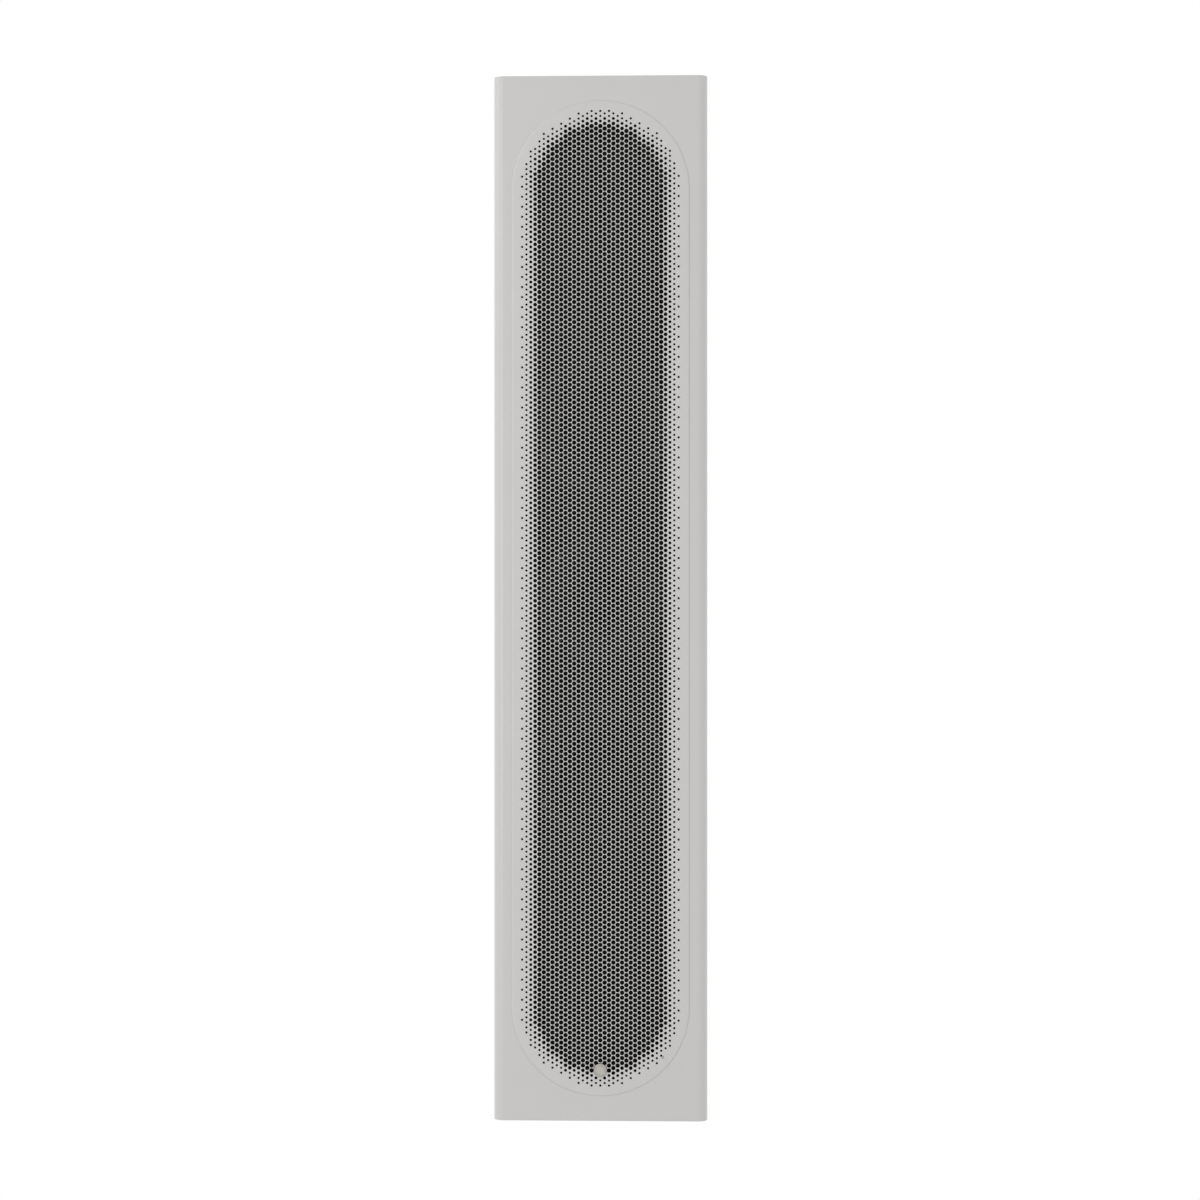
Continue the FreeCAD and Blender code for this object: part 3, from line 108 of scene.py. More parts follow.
class CabinetSettings(bpy.types.PropertyGroup):
    """Sizes of the painted cabinet."""

    front_radius: FloatProperty(
        name="Front edge", description="Radius of the long front edges", default=0.0095, unit="LENGTH")
    end_bevel: FloatProperty(
        name="End bevel", description="Softening of the ends' edges", default=0.0008, unit="LENGTH")
    side_wall: FloatProperty(
        name="Side wall", description="Thickness of the side walls", default=0.012, unit="LENGTH")
    end_wall: FloatProperty(
        name="End wall", description="Thickness of the end walls", default=0.015, unit="LENGTH")
    front_wall: FloatProperty(
        name="Front wall", description="Thickness of the front around the window", default=0.012,
        unit="LENGTH")
    window_gap: FloatProperty(
        name="Window gap", description="Gap between the grille and the window", default=0.00002,
        unit="LENGTH")
    round_steps: IntProperty(
        name="Round steps", description="Steps of each rounded edge", default=12, min=3)
    bevel_steps: IntProperty(
        name="Bevel steps", description="Steps of the ends' bevel", default=3, min=1)
    window_cuts: IntProperty(
        name="Window cuts", description="Cuts in each straight side of the window", default=40, min=1)
    paint: FloatVectorProperty(
        name="Paint", description="Colour of the cabinet's paint", default=(0.575, 0.568, 0.557),
        subtype="COLOR", size=3)


class GrilleSettings(bpy.types.PropertyGroup):
    """Sizes of the pierced sheet and its lattice of holes."""

    half_width: FloatProperty(
        name="Half width", description="Half the width of the stadium", default=0.08875, unit="LENGTH")
    half_length: FloatProperty(
        name="Half length", description="Half the height of the stadium", default=0.4955, unit="LENGTH")
    front: FloatProperty(
        name="Front", description="Depth of the sheet's front face", default=-0.0928, unit="LENGTH")
    back: FloatProperty(
        name="Back", description="Depth of the rim's rear edge", default=-0.0803, unit="LENGTH")
    sheet: FloatProperty(
        name="Sheet", description="Thickness of the steel", default=0.001, unit="LENGTH")
    edge_width: FloatProperty(
        name="Edge width", description="Width of the bent edge, seen from the front", default=0.0016,
        unit="LENGTH")
    edge_depth: FloatProperty(
        name="Edge depth", description="Depth of the bent edge", default=0.0009, unit="LENGTH")
    edge_steps: IntProperty(
        name="Edge steps", description="Steps of the bent edge", default=6, min=2)
    arc_steps: IntProperty(
        name="Arc steps", description="Steps of each half-round end", default=72, min=12)
    side_cuts: IntProperty(
        name="Side cuts", description="Cuts in each straight side", default=60, min=1)
    pitch: FloatProperty(
        name="Pitch", description="Distance between neighbouring holes", default=0.005, unit="LENGTH")
    columns: IntProperty(
        name="Columns", description="Columns of holes on each side of the middle one", default=18, min=1)
    field_length: FloatProperty(
        name="Field length", description="Height of the middle column's top hole", default=0.485,
        unit="LENGTH")
    field_end: FloatProperty(
        name="Field axis", description="Height where the field's upright axis ends", default=0.4069,
        unit="LENGTH")
    field_radius: FloatProperty(
        name="Field radius", description="Reach of the outermost holes from the field's axis",
        default=0.0793, unit="LENGTH")
    fringe: FloatProperty(
        name="Fringe", description="Width of the outermost ring, which is thinned", default=0.0031,
        unit="LENGTH")
    hole: FloatProperty(
        name="Hole", description="Radius of the full holes", default=0.0023, unit="LENGTH")
    grade_reach: FloatVectorProperty(
        name="Grade reach", description="Reach of the full holes and of two smaller grades",
        default=(0.0637, 0.0678, 0.0720), size=3, unit="LENGTH")
    grade_share: FloatVectorProperty(
        name="Grade share", description="Radius of the three smaller grades as a share of the full hole",
        default=(0.8425, 0.672, 0.511), size=3)
    paint: FloatVectorProperty(
        name="Paint", description="Colour of the grille's paint", default=(0.575, 0.568, 0.557),
        subtype="COLOR", size=3)


class BadgeSettings(bpy.types.PropertyGroup):
    """Sizes of the plain round badge."""

    radius: FloatProperty(
        name="Radius", description="Radius of the badge", default=0.0066, unit="LENGTH")
    rim: FloatProperty(
        name="Rim", description="Width of the raised rim", default=0.0011, unit="LENGTH")
    dish: FloatProperty(
        name="Dish", description="Depth of the face below the rim", default=0.0005, unit="LENGTH")
    ring: FloatProperty(
        name="Ring", description="Radius of the thin ring on the face", default=0.0043, unit="LENGTH")
    ring_height: FloatProperty(
        name="Ring height", description="Height and half width of the thin ring", default=0.00025,
        unit="LENGTH")
    # The black disc behind the badge is painted shade: its crescent above the badge stands for the dark gap
    # round the badge's upper half.
    shade_radius: FloatProperty(
        name="Seat radius", description="Radius of the black seat under the badge", default=0.0069,
        unit="LENGTH")
    shade_height: FloatProperty(
        name="Seat height", description="Thickness of the black seat", default=0.0003, unit="LENGTH")
    shade_lift: FloatProperty(
        name="Seat lift", description="Height of the seat's centre above the badge's", default=0.00025,
        unit="LENGTH")
    turn_steps: IntProperty(
        name="Turn steps", description="Steps of the turned disc and its seat", default=48, min=16)
    metal: FloatVectorProperty(
        name="Metal", description="Colour of the badge's metal", default=(0.46, 0.44, 0.41),
        subtype="COLOR", size=3)


class DriverSettings(bpy.types.PropertyGroup):
    """Sizes of the woofers' soft parts."""

    surround_outer: FloatProperty(
        name="Outer lip", description="Radius of the surround's outer lip", default=0.061, unit="LENGTH")
    surround_inner: FloatProperty(
        name="Inner lip", description="Radius of the surround's inner lip", default=0.041, unit="LENGTH")
    roll_outer: FloatProperty(
        name="Roll outside", description="Outer foot of the surround's roll", default=0.056, unit="LENGTH")
    roll_inner: FloatProperty(
        name="Roll inside", description="Inner foot of the surround's roll", default=0.046, unit="LENGTH")
    lip_level: FloatProperty(
        name="Lip level", description="Depth of the lips' front face", default=-0.0793, unit="LENGTH")
    surround_skin: FloatProperty(
        name="Rubber", description="Thickness of the surround", default=0.0008, unit="LENGTH")
    roll_steps: IntProperty(
        name="Roll steps", description="Steps of the surround's roll", default=16, min=4)
    spider_outer: FloatProperty(
        name="Spider outside", description="Outer radius of the spider", default=0.0427, unit="LENGTH")
    spider_inner: FloatProperty(
        name="Spider inside", description="Inner radius of the spider", default=0.0136, unit="LENGTH")
    wave_outer: FloatProperty(
        name="Waves outside", description="Radius where the waves start", default=0.036, unit="LENGTH")
    wave_inner: FloatProperty(
        name="Waves inside", description="Radius where the waves end", default=0.0165, unit="LENGTH")
    waves: IntProperty(
        name="Half waves", description="Half waves of the spider", default=8, min=2)
    wave_height: FloatProperty(
        name="Wave height", description="Height of each half wave", default=0.0009, unit="LENGTH")
    wave_cuts: IntProperty(
        name="Wave cuts", description="Cuts that round each stretch of the spider's line", default=3, min=1)
    spider_level: FloatProperty(
        name="Spider level", description="Depth of the spider", default=-0.0562, unit="LENGTH")
    spider_skin: FloatProperty(
        name="Cloth", description="Thickness of the spider", default=0.0005, unit="LENGTH")
    turn_steps: IntProperty(
        name="Turn steps", description="Steps of each turned piece", default=96, min=16)


class StageSettings(bpy.types.PropertyGroup):
    """Camera, light and floor."""

    distance: FloatProperty(
        name="Distance", description="Camera to the front of the object", default=2.8, unit="LENGTH")
    turn: FloatProperty(
        name="Turn", description="Angle of the camera to the right of the front", default=math.radians(2),
        subtype="ANGLE")
    half_view: FloatProperty(
        name="Half view", description="Half the height of the view at the object's front", default=0.5972,
        unit="LENGTH")
    shift: FloatVectorProperty(
        name="Shift", description="Shift of the view", default=(-0.00025, -0.00146), size=2)
    floor_level: FloatProperty(
        name="Floor", description="Height of the floor", default=-0.75, unit="LENGTH")
    ambient: FloatProperty(
        name="Ambient", description="Strength of the light from all round", default=0.715)
    lean: FloatProperty(
        name="Lean", description="How much more of that light comes from the left than from the right",
        default=0.04)
    sides: FloatProperty(
        name="Sides", description="How much more of that light comes from both sides than from ahead",
        default=0.36)
    key_power: FloatProperty(
        name="Key light", description="Power of the large light at upper left", default=18.0, unit="POWER")
    key_place: FloatVectorProperty(
        name="Key place", description="Place of the large light", default=(-2.4, -1.0, 1.8), size=3,
        subtype="TRANSLATION")
    key_size: FloatProperty(
        name="Key size", description="Width and height of the large light", default=2.6, unit="LENGTH")
    strip_power: FloatProperty(
        name="Strip light", description="Power of the tall light at left", default=10.0, unit="POWER")
    strip_turn: FloatProperty(
        name="Strip turn", description="Angle of the tall light to the left of the front",
        default=math.radians(21), subtype="ANGLE")
    strip_size: FloatVectorProperty(
        name="Strip size", description="Width and height of the tall light", default=(0.3, 2.4), size=2,
        unit="LENGTH")


# Node building


def add_node(tree, kind, inputs=None, **settings):
    """A new node with its settings and the values of its free sockets."""
    node = tree.nodes.new(kind)
    for key, value in settings.items():
        setattr(node, key, value)
    for key, value in (inputs or {}).items():
        node.inputs[key].default_value = value
    return node


def tinted(colour, factor):
    """The colour made darker or lighter, with full cover."""
    return tuple(min(1.0, channel * factor) for channel in colour[:3]) + (1.0,)


def object_vector(tree, scale=(1, 1, 1), centre=(0, 0, 0)):
    """Object coordinates about a centre, stretched along the axes."""
    place = add_node(tree, "ShaderNodeTexCoord")
    shift = tuple(-c * s for c, s in zip(centre, scale))
    mapping = add_node(tree, "ShaderNodeMapping", {"Location": shift, "Scale": scale})
    tree.links.new(place.outputs["Object"], mapping.inputs["Vector"])
    return mapping.outputs["Vector"]


def noise(tree, vector, size, detail=2.0):
    """Cloudy pattern whose blobs are about one size across."""
    node = add_node(tree, "ShaderNodeTexNoise", {"Scale": 1 / size, "Detail": detail, "Roughness": 0.55})
    tree.links.new(vector, node.inputs["Vector"])
    return node.outputs["Fac"]


def wave(tree, vector, period, kind="BANDS", direction="X", distortion=0.0):
    """Even waves of one period along an axis, or in rings about it."""
    node = add_node(
        tree, "ShaderNodeTexWave", {"Scale": WAVE_PERIOD / period, "Distortion": distortion},
        wave_type=kind)
    if kind == "BANDS":
        node.bands_direction = direction
    else:
        node.rings_direction = direction
    tree.links.new(vector, node.inputs["Vector"])
    return node.outputs["Fac"]


def joined(tree, operation, first, second):
    """Two patterns joined by one operation."""
    node = add_node(tree, "ShaderNodeMath", operation=operation)
    tree.links.new(first, node.inputs[0])
    tree.links.new(second, node.inputs[1])
    return node.outputs["Value"]


def ramp(tree, factor, low, high):
    """Colours between two tints, led by a pattern."""
    node = add_node(tree, "ShaderNodeValToRGB")
    node.color_ramp.elements[0].position = NOISE_LOW
    node.color_ramp.elements[0].color = low
    node.color_ramp.elements[1].position = NOISE_HIGH
    node.color_ramp.elements[1].color = high
    tree.links.new(factor, node.inputs["Fac"])
    return node.outputs["Color"]


def spread(tree, factor, low, high):
    """A pattern's middle range laid over a range of values."""
    node = add_node(
        tree, "ShaderNodeMapRange",
        {"From Min": NOISE_LOW, "From Max": NOISE_HIGH, "To Min": low, "To Max": high})
    tree.links.new(factor, node.inputs["Value"])
    return node.outputs["Result"]


def pattern(tree, kind, size, centre):
    """Height pattern of one kind of surface."""
    vector = object_vector(tree, centre=centre)
    if kind == "weave":
        across = wave(tree, vector, size, direction="X")
        along = wave(tree, vector, size, direction="Z")
        return joined(tree, "MAXIMUM", across, along)
    if kind == "rings":
        return wave(tree, vector, size, kind="RINGS", direction="Y", distortion=0.3)
    if kind == "turns":
        return wave(tree, vector, size, direction="Y", distortion=0.2)
    if kind == "brushed":
        return noise(tree, object_vector(tree, scale=(BRUSH_STRETCH, 1, 1), centre=centre), size)
    if kind == "fibre":
        coarse = noise(tree, vector, size, detail=6.0)
        return joined(tree, "MULTIPLY", coarse, noise(tree, vector, size * 4))
    return noise(tree, vector, size, detail=3.0)


def make_finish(name, colour, kind, size, depth, roughness, metallic=0.0, mottle=0.04, cloud=0.03,
                coat=0.0, coat_roughness=0.1, sheen=0.0, specular=0.5, centre=(0, 0, 0)):
    """A finish with its own relief, its uneven gloss and a slight drift of colour."""
    material = bpy.data.materials.new(name)
    material.use_nodes = True
    tree = material.node_tree
    shader = tree.nodes["Principled BSDF"]
    shader.inputs["Metallic"].default_value = metallic
    shader.inputs["Coat Weight"].default_value = coat
    shader.inputs["Coat Roughness"].default_value = coat_roughness
    shader.inputs["Specular IOR Level"].default_value = specular
    shader.inputs["Sheen Weight"].default_value = sheen
    drift = noise(tree, object_vector(tree), cloud, detail=4.0)
    colours = ramp(tree, drift, tinted(colour, 1 - mottle), tinted(colour, 1 + mottle))
    tree.links.new(colours, shader.inputs["Base Color"])
    gloss = noise(tree, object_vector(tree), cloud * GLOSS_SCALE)
    uneven = spread(tree, gloss, roughness * (1 - GLOSS_DRIFT), roughness * (1 + GLOSS_DRIFT))
    tree.links.new(uneven, shader.inputs["Roughness"])
    bump = add_node(tree, "ShaderNodeBump", {"Strength": BUMP_STRENGTH, "Distance": depth})
    tree.links.new(pattern(tree, kind, size, centre), bump.inputs["Height"])
    tree.links.new(bump.outputs["Normal"], shader.inputs["Normal"])
    return material


def satin_paint(name, colour, grain):
    """Lacquered paint with a fine grain."""
    return make_finish(name, colour, "grain", size=grain, depth=0.000012, roughness=0.34, mottle=0.006,
                       cloud=0.05, coat=1.0, coat_roughness=0.28)


# Mesh building


def loop_between(bm, before):
    """Edges made since the set was taken."""
    return [edge for edge in bm.edges if edge not in before]


def last_vert(result):
    """The vertex at the end of a spun line."""
    return [part for part in result["geom_last"] if isinstance(part, bmesh.types.BMVert)][0]


def drawn_on(bm, vert, place):
    """A line drawn on from a vertex to a place; the new vertex."""
    new = bmesh.ops.extrude_vert_indiv(bm, verts=[vert])["verts"][0]
    new.co = place
    return new


def turned_on(bm, vert, centre, axis, angle, steps):
    """An arc drawn on from a vertex; the new end."""
    return last_vert(bmesh.ops.spin(
        bm, geom=[vert], cent=centre, axis=axis, dvec=(0, 0, 0), angle=angle, steps=steps))


def stadium(bm, half_width, half_length, depth, arc_steps, side_cuts):
    """Closed line of an upright stadium at one depth; its edges."""
    before = set(bm.edges)
    straight = half_length - half_width
    first = bm.verts.new((half_width, depth, straight))
    left = turned_on(bm, first, (0, depth, straight), (0, -1, 0), math.pi, arc_steps)
    foot = drawn_on(bm, left, (-half_width, depth, -straight))
    right = turned_on(bm, foot, (0, depth, -straight), (0, -1, 0), math.pi, arc_steps)
    sides = [bm.edges.get((left, foot)), bm.edges.new((right, first))]
    bmesh.ops.subdivide_edges(bm, edges=sides, cuts=side_cuts)
    return loop_between(bm, before)


def rectangle(bm, half_width, half_height, depth):
    """Closed line of an upright rectangle at one depth; its edges."""
    before = set(bm.edges)
    corner = first = bm.verts.new((half_width, depth, half_height))
    for x, z in ((-1, 1), (-1, -1), (1, -1)):
        corner = drawn_on(bm, corner, (x * half_width, depth, z * half_height))
    bm.edges.new((corner, first))
    return loop_between(bm, before)


def bridged(bm, first, second):
    """Faces between two closed lines."""
    return bmesh.ops.bridge_loops(bm, edges=first + second)["faces"]


def filled(bm, edges):
    """Flat faces that fill the area between closed lines facing front or back."""
    result = bmesh.ops.triangle_fill(bm, use_beauty=True, use_dissolve=False, edges=edges, normal=(0, -1, 0))
    return [part for part in result["geom"] if isinstance(part, bmesh.types.BMFace)]


def new_piece(name, bm, materials):
    """An object from the finished bmesh, with soft shading between its sharp edges."""
    mesh = bpy.data.meshes.new(name)
    bm.to_mesh(mesh)
    bm.free()
    for material in materials:
        mesh.materials.append(material)
    piece = bpy.data.objects.new(name, mesh)
    bpy.context.scene.collection.objects.link(piece)
    soften(piece)
    return piece


def soften(piece):
    """Soft shading, broken at sharp edges."""
    piece.data.shade_smooth()
    piece.data.set_sharp_from_angle(angle=SHARP_ANGLE)


def thickened(piece, thickness, back_slot=0):
    """Turns a sheet into a shell that keeps its front face; its back and cut edges may take another slot."""
    shell = piece.modifiers.new("sheet", "SOLIDIFY")
    shell.thickness = thickness
    shell.offset = -1
    shell.material_offset = back_slot
    shell.material_offset_rim = back_slot
    graph = bpy.context.evaluated_depsgraph_get()
    mesh = bpy.data.meshes.new_from_object(piece.evaluated_get(graph))
    piece.modifiers.clear()
    old = piece.data
    piece.data = mesh
    bpy.data.meshes.remove(old)
    mesh.name = piece.name
    soften(piece)


def turned(bm, steps, centre):
    """Spins the bmesh's line once about the depth axis through a centre."""
    geometry = bm.verts[:] + bm.edges[:]
    bmesh.ops.spin(bm, geom=geometry, cent=centre, axis=(0, 1, 0), dvec=(0, 0, 0), angle=math.tau,
                   steps=steps, use_merge=True)
    bmesh.ops.remove_doubles(bm, verts=bm.verts[:], dist=SAME_PLACE)
    bmesh.ops.recalc_face_normals(bm, faces=bm.faces[:])


def face_front(bm):
    """Turns an open skin's faces towards the front."""
    lead = max(bm.faces, key=lambda face: abs(face.normal.y) * face.calc_area())
    if lead.normal.y > 0:
        bmesh.ops.reverse_faces(bm, faces=bm.faces[:])


def facing(bm, axis, side):
    """The largest face whose normal points along one side of an axis."""
    faces = [face for face in bm.faces if face.normal[axis] * side > FLAT_SHARE]
    return max(faces, key=lambda face: face.calc_area())


def opened(bm, face):
    """Takes a face away and gives its edges."""
    edges = face.edges[:]
    bmesh.ops.delete(bm, geom=[face], context="FACES_ONLY")
    return edges


def carried(piece, body, slot, *nodes):
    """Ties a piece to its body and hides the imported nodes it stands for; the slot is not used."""
    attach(piece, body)
    if nodes:
        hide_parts(*nodes)


# Pieces


def cabinet_skin(sizes, grille):
    """Painted box with rounded long edges and a stadium window; bmesh with the hollow's faces marked."""
    low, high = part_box("cabinet_shell")
    half_width = high[0]
    half_height = high[2]
    front = low[1]
    radius = sizes.front_radius
    bm = bmesh.new()
    first = bm.verts.new((half_width, 0, -half_height))
    side = drawn_on(bm, first, (half_width, front + radius, -half_height))
    nose = turned_on(bm, side, (half_width - radius, front + radius, 0), (0, 0, -1), math.pi / 2,
                     sizes.round_steps)
    other = drawn_on(bm, nose, (radius - half_width, front, -half_height))
    side = turned_on(bm, other, (radius - half_width, front + radius, 0), (0, 0, -1), math.pi / 2,
                     sizes.round_steps)
    back = drawn_on(bm, side, (-half_width, 0, -half_height))
    bm.edges.new((back, first))
    foot = bmesh.ops.contextual_create(bm, geom=bm.edges[:])["faces"]
    top = bmesh.ops.extrude_face_region(bm, geom=foot)["geom"]
    rise = [part for part in top if isinstance(part, bmesh.types.BMVert)]
    bmesh.ops.translate(bm, verts=rise, vec=(0, 0, 2 * half_height))
    bmesh.ops.recalc_face_normals(bm, faces=bm.faces[:])
    rims = [edge for edge in bm.edges
            if abs(edge.verts[0].co.z - edge.verts[1].co.z) < MM
            or min(vert.co.y for vert in edge.verts) > -MM]
    bmesh.ops.bevel(bm, geom=rims, offset=sizes.end_bevel, offset_type="OFFSET",
                    segments=sizes.bevel_steps, profile=0.5, affect="EDGES", material=-1, clamp_overlap=True)
    bm.normal_update()

    half_window = grille.half_width + sizes.window_gap
    half_opening = grille.half_length + sizes.window_gap
    inner = front + sizes.front_wall
    window = stadium(bm, half_window, half_opening, front, grille.arc_steps, sizes.window_cuts)
    deep_ring = stadium(bm, half_window, half_opening, inner, grille.arc_steps, sizes.window_cuts)
    filled(bm, opened(bm, facing(bm, 1, -1)) + window)
    bridged(bm, window, deep_ring)
    wall_x = half_width - sizes.side_wall
    wall_z = half_height - sizes.end_wall
    front_corner = rectangle(bm, wall_x, wall_z, inner)
    back_corner = rectangle(bm, wall_x, wall_z, 0)
    hollow = filled(bm, deep_ring + front_corner)
    hollow += bridged(bm, front_corner, back_corner)
    filled(bm, opened(bm, facing(bm, 1, 1)) + back_corner)
    for face in hollow:
        face.material_index = 1
    bmesh.ops.recalc_face_normals(bm, faces=bm.faces[:])
    return bm


def axis_distance(sizes, x, z):
    """Distance of a point of the sheet from the field's upright axis."""
    over = max(0.0, abs(z) - sizes.field_end)
    return math.hypot(x, over)


def hole_radius(sizes, badge, column, row, x, z):
    """Radius of the hole at a place of the lattice; 0 for a blank, None outside the field."""
    reach = axis_distance(sizes, x, z)
    if reach >= sizes.field_radius:
        return None
    if math.hypot(x, z - badge.z) < BADGE_CLEAR * sizes.pitch:
        return 0.0
    if reach > sizes.field_radius - sizes.fringe:
        every_second = abs(column) == sizes.columns and row % 4 != 2
        single = abs(column) in THINNED_COLUMNS and row == abs(column) - THINNED_SHIFT
        if every_second or single:
            return 0.0
    grade = sum(reach >= limit for limit in sizes.grade_reach)
    return sizes.hole * (1.0, *sizes.grade_share)[grade]


def badge_centre():
    """Middle of the badge, on the sheet."""
    low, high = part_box("grille_badge")
    return (Vector(low) + Vector(high)) / 2


def lattice_runs(sizes):
    """Runs of equal cells down the lattice's columns: place of the lowest, how many, radius."""
    half = sizes.pitch / 2
    rows = round(2 * sizes.field_length / half)
    badge = badge_centre()
    runs = []
    for column in range(-sizes.columns, sizes.columns + 1):
        x = column * sizes.pitch * math.sin(math.pi / 3)
        for row in range(rows, -1, -1):
            if row % 2 != column % 2:
                continue
            z = sizes.field_length - row * half
            radius = hole_radius(sizes, badge, column, min(row, rows - row), x, z)
            if radius is None:
                continue
            last = runs[-1] if runs else None
            follows = last and last["x"] == x and abs(last["z"] + last["count"] * sizes.pitch - z) < half / 2
            if follows and last["radius"] == radius:
                last["count"] += 1
            else:
                runs.append({"x": x, "z": z, "count": 1, "radius": radius})
    return runs


def cell_run(sizes, run):
    """One column's run of hexagonal cells, with round holes or blank."""
    bm = bmesh.new()
    turn = Matrix.Rotation(math.pi / 6, 4, "Z")
    blank = run["radius"] == 0
    bmesh.ops.create_circle(
        bm, cap_ends=blank, segments=HEX_SIDES, radius=sizes.pitch / math.sqrt(3), matrix=turn)
    bmesh.ops.subdivide_edges(bm, edges=bm.edges[:], cuts=1)
    if not blank:
        outline = bm.edges[:]
        before = set(bm.edges)
        bmesh.ops.create_circle(bm, segments=2 * HEX_SIDES, radius=run["radius"])
        hole = loop_between(bm, before)
        for edge in hole:
            edge.seam = True
        bridged(bm, outline, hole)
    stand = Matrix.Translation((run["x"], sizes.front, run["z"])) @ Matrix.Rotation(math.pi / 2, 4, "X")
    bmesh.ops.transform(bm, matrix=stand, verts=bm.verts[:])
    if run["count"] > 1:
        bmesh.ops.spin(bm, geom=bm.verts[:] + bm.edges[:] + bm.faces[:], cent=(0, 0, 0), axis=(0, 0, 1),
                       dvec=(0, 0, sizes.pitch), angle=0, steps=run["count"] - 1, use_duplicate=True)
    return bm


def grille_sheet(sizes):
    """Front skin of the grille: field of holes, plain border, bent edge and rim."""
    bm = bmesh.new()
    rings = []
    for step in range(sizes.edge_steps + 1):
        angle = math.pi / 2 * step / sizes.edge_steps
        inset = sizes.edge_width * (1 - math.sin(angle))
        deep = sizes.edge_depth * (1 - math.cos(angle))
        rings.append(stadium(
            bm, sizes.half_width - inset, sizes.half_length - inset, sizes.front + deep, sizes.arc_steps,
            sizes.side_cuts))
    rings.append(stadium(
        bm, sizes.half_width, sizes.half_length, sizes.back, sizes.arc_steps, sizes.side_cuts))
    scratch = bpy.data.meshes.new("cells")
    for run in lattice_runs(sizes):
        cells = cell_run(sizes, run)
        cells.to_mesh(scratch)
        cells.free()
        bm.from_mesh(scratch)
    bpy.data.meshes.remove(scratch)
    bmesh.ops.remove_doubles(bm, verts=[vert for vert in bm.verts if vert.link_faces], dist=CELL_MERGE)
    field = [edge for edge in bm.edges if edge.is_boundary and not edge.seam]
    border(bm, field, rings[0])
    for outer, ring in zip(rings, rings[1:]):
        bridged(bm, outer, ring)
    bmesh.ops.recalc_face_normals(bm, faces=bm.faces[:])
    face_front(bm)
    return bm


def border(bm, field, ring):
    """Flat border between the field and a ring round it, as a left and a right half."""
    cuts = []
    for side in (1, -1):
        ends = []
        for edges in (field, ring):
            verts = {vert for edge in edges for vert in edge.verts if abs(vert.co.x) < SAME_PLACE}
            ends.append(max(verts, key=lambda vert: side * vert.co.z))
        cuts.append(bm.edges.new(ends))
    for side in (1, -1):
        half = [edge for edge in field + ring if side * (edge.verts[0].co.x + edge.verts[1].co.x) > 0]
        faces = bmesh.ops.contextual_create(bm, geom=half + cuts)["faces"]
        bmesh.ops.triangulate(bm, faces=faces, quad_method="BEAUTY", ngon_method="EAR_CLIP")


def part_of_sheet(whole, low, high):
    """The stretch of the grille's skin between two heights."""
    bm = whole.copy()
    for height, inner in ((low, False), (high, True)):
        if height is not None:
            bmesh.ops.bisect_plane(
                bm, geom=bm.verts[:] + bm.edges[:] + bm.faces[:], dist=CUT_MERGE,
                plane_co=(0, 0, height), plane_no=(0, 0, 1), clear_outer=inner, clear_inner=not inner)
    return bm


class SPEAKER_OT_cabinet(bpy.types.Operator):
    """Build the painted cabinet"""

    bl_idname = "speaker.cabinet"
    bl_label = "Cabinet"

    def execute(self, context):
        scene = context.scene
        sizes = scene.speaker_cabinet
        paint = satin_paint("cabinet_satin", sizes.paint, grain=0.0006)
        dark = make_finish("cabinet_hollow", (0.012, 0.012, 0.012), "fibre", size=0.002, depth=0.0002,
                           roughness=0.8, specular=0.1)
        piece = new_piece("cabinet_box", cabinet_skin(sizes, scene.speaker_grille), [paint, dark])
        even = piece.modifiers.new("even normals", "WEIGHTED_NORMAL")
        even.keep_sharp = True
        carried(piece, "cabinet", "cabinet_paint", "cabinet_shell")
        return {"FINISHED"}


class SPEAKER_OT_grille(bpy.types.Operator):
    """Build the pierced steel grille"""

    bl_idname = "speaker.grille"
    bl_label = "Grille"

    def execute(self, context):
        sizes = context.scene.speaker_grille
        paint = satin_paint("grille_satin", sizes.paint, grain=0.0005)
        # Black for the sheet's back and the walls of its holes: painted shade, so that the holes come out
        # black.
        dark = make_finish("grille_back_and_hole_shade", (0.004, 0.004, 0.004), "grain", size=0.0004, depth=0.00002,
                           roughness=0.85, specular=0.05)
        whole = grille_sheet(sizes)
        cut = round(sizes.field_length / 3 / sizes.pitch) * sizes.pitch
        for name, low, high in (("top", cut, None), ("middle", -cut, cut), ("foot", None, -cut)):
            piece = new_piece("grille_" + name, part_of_sheet(whole, low, high), [paint, dark])
            # The back and the hole walls take the black, which is painted shade for the holes.
            thickened(piece, sizes.sheet, back_slot=1)
            carried(piece, "grille", "grille_paint", "grille")
        whole.free()
        return {"FINISHED"}


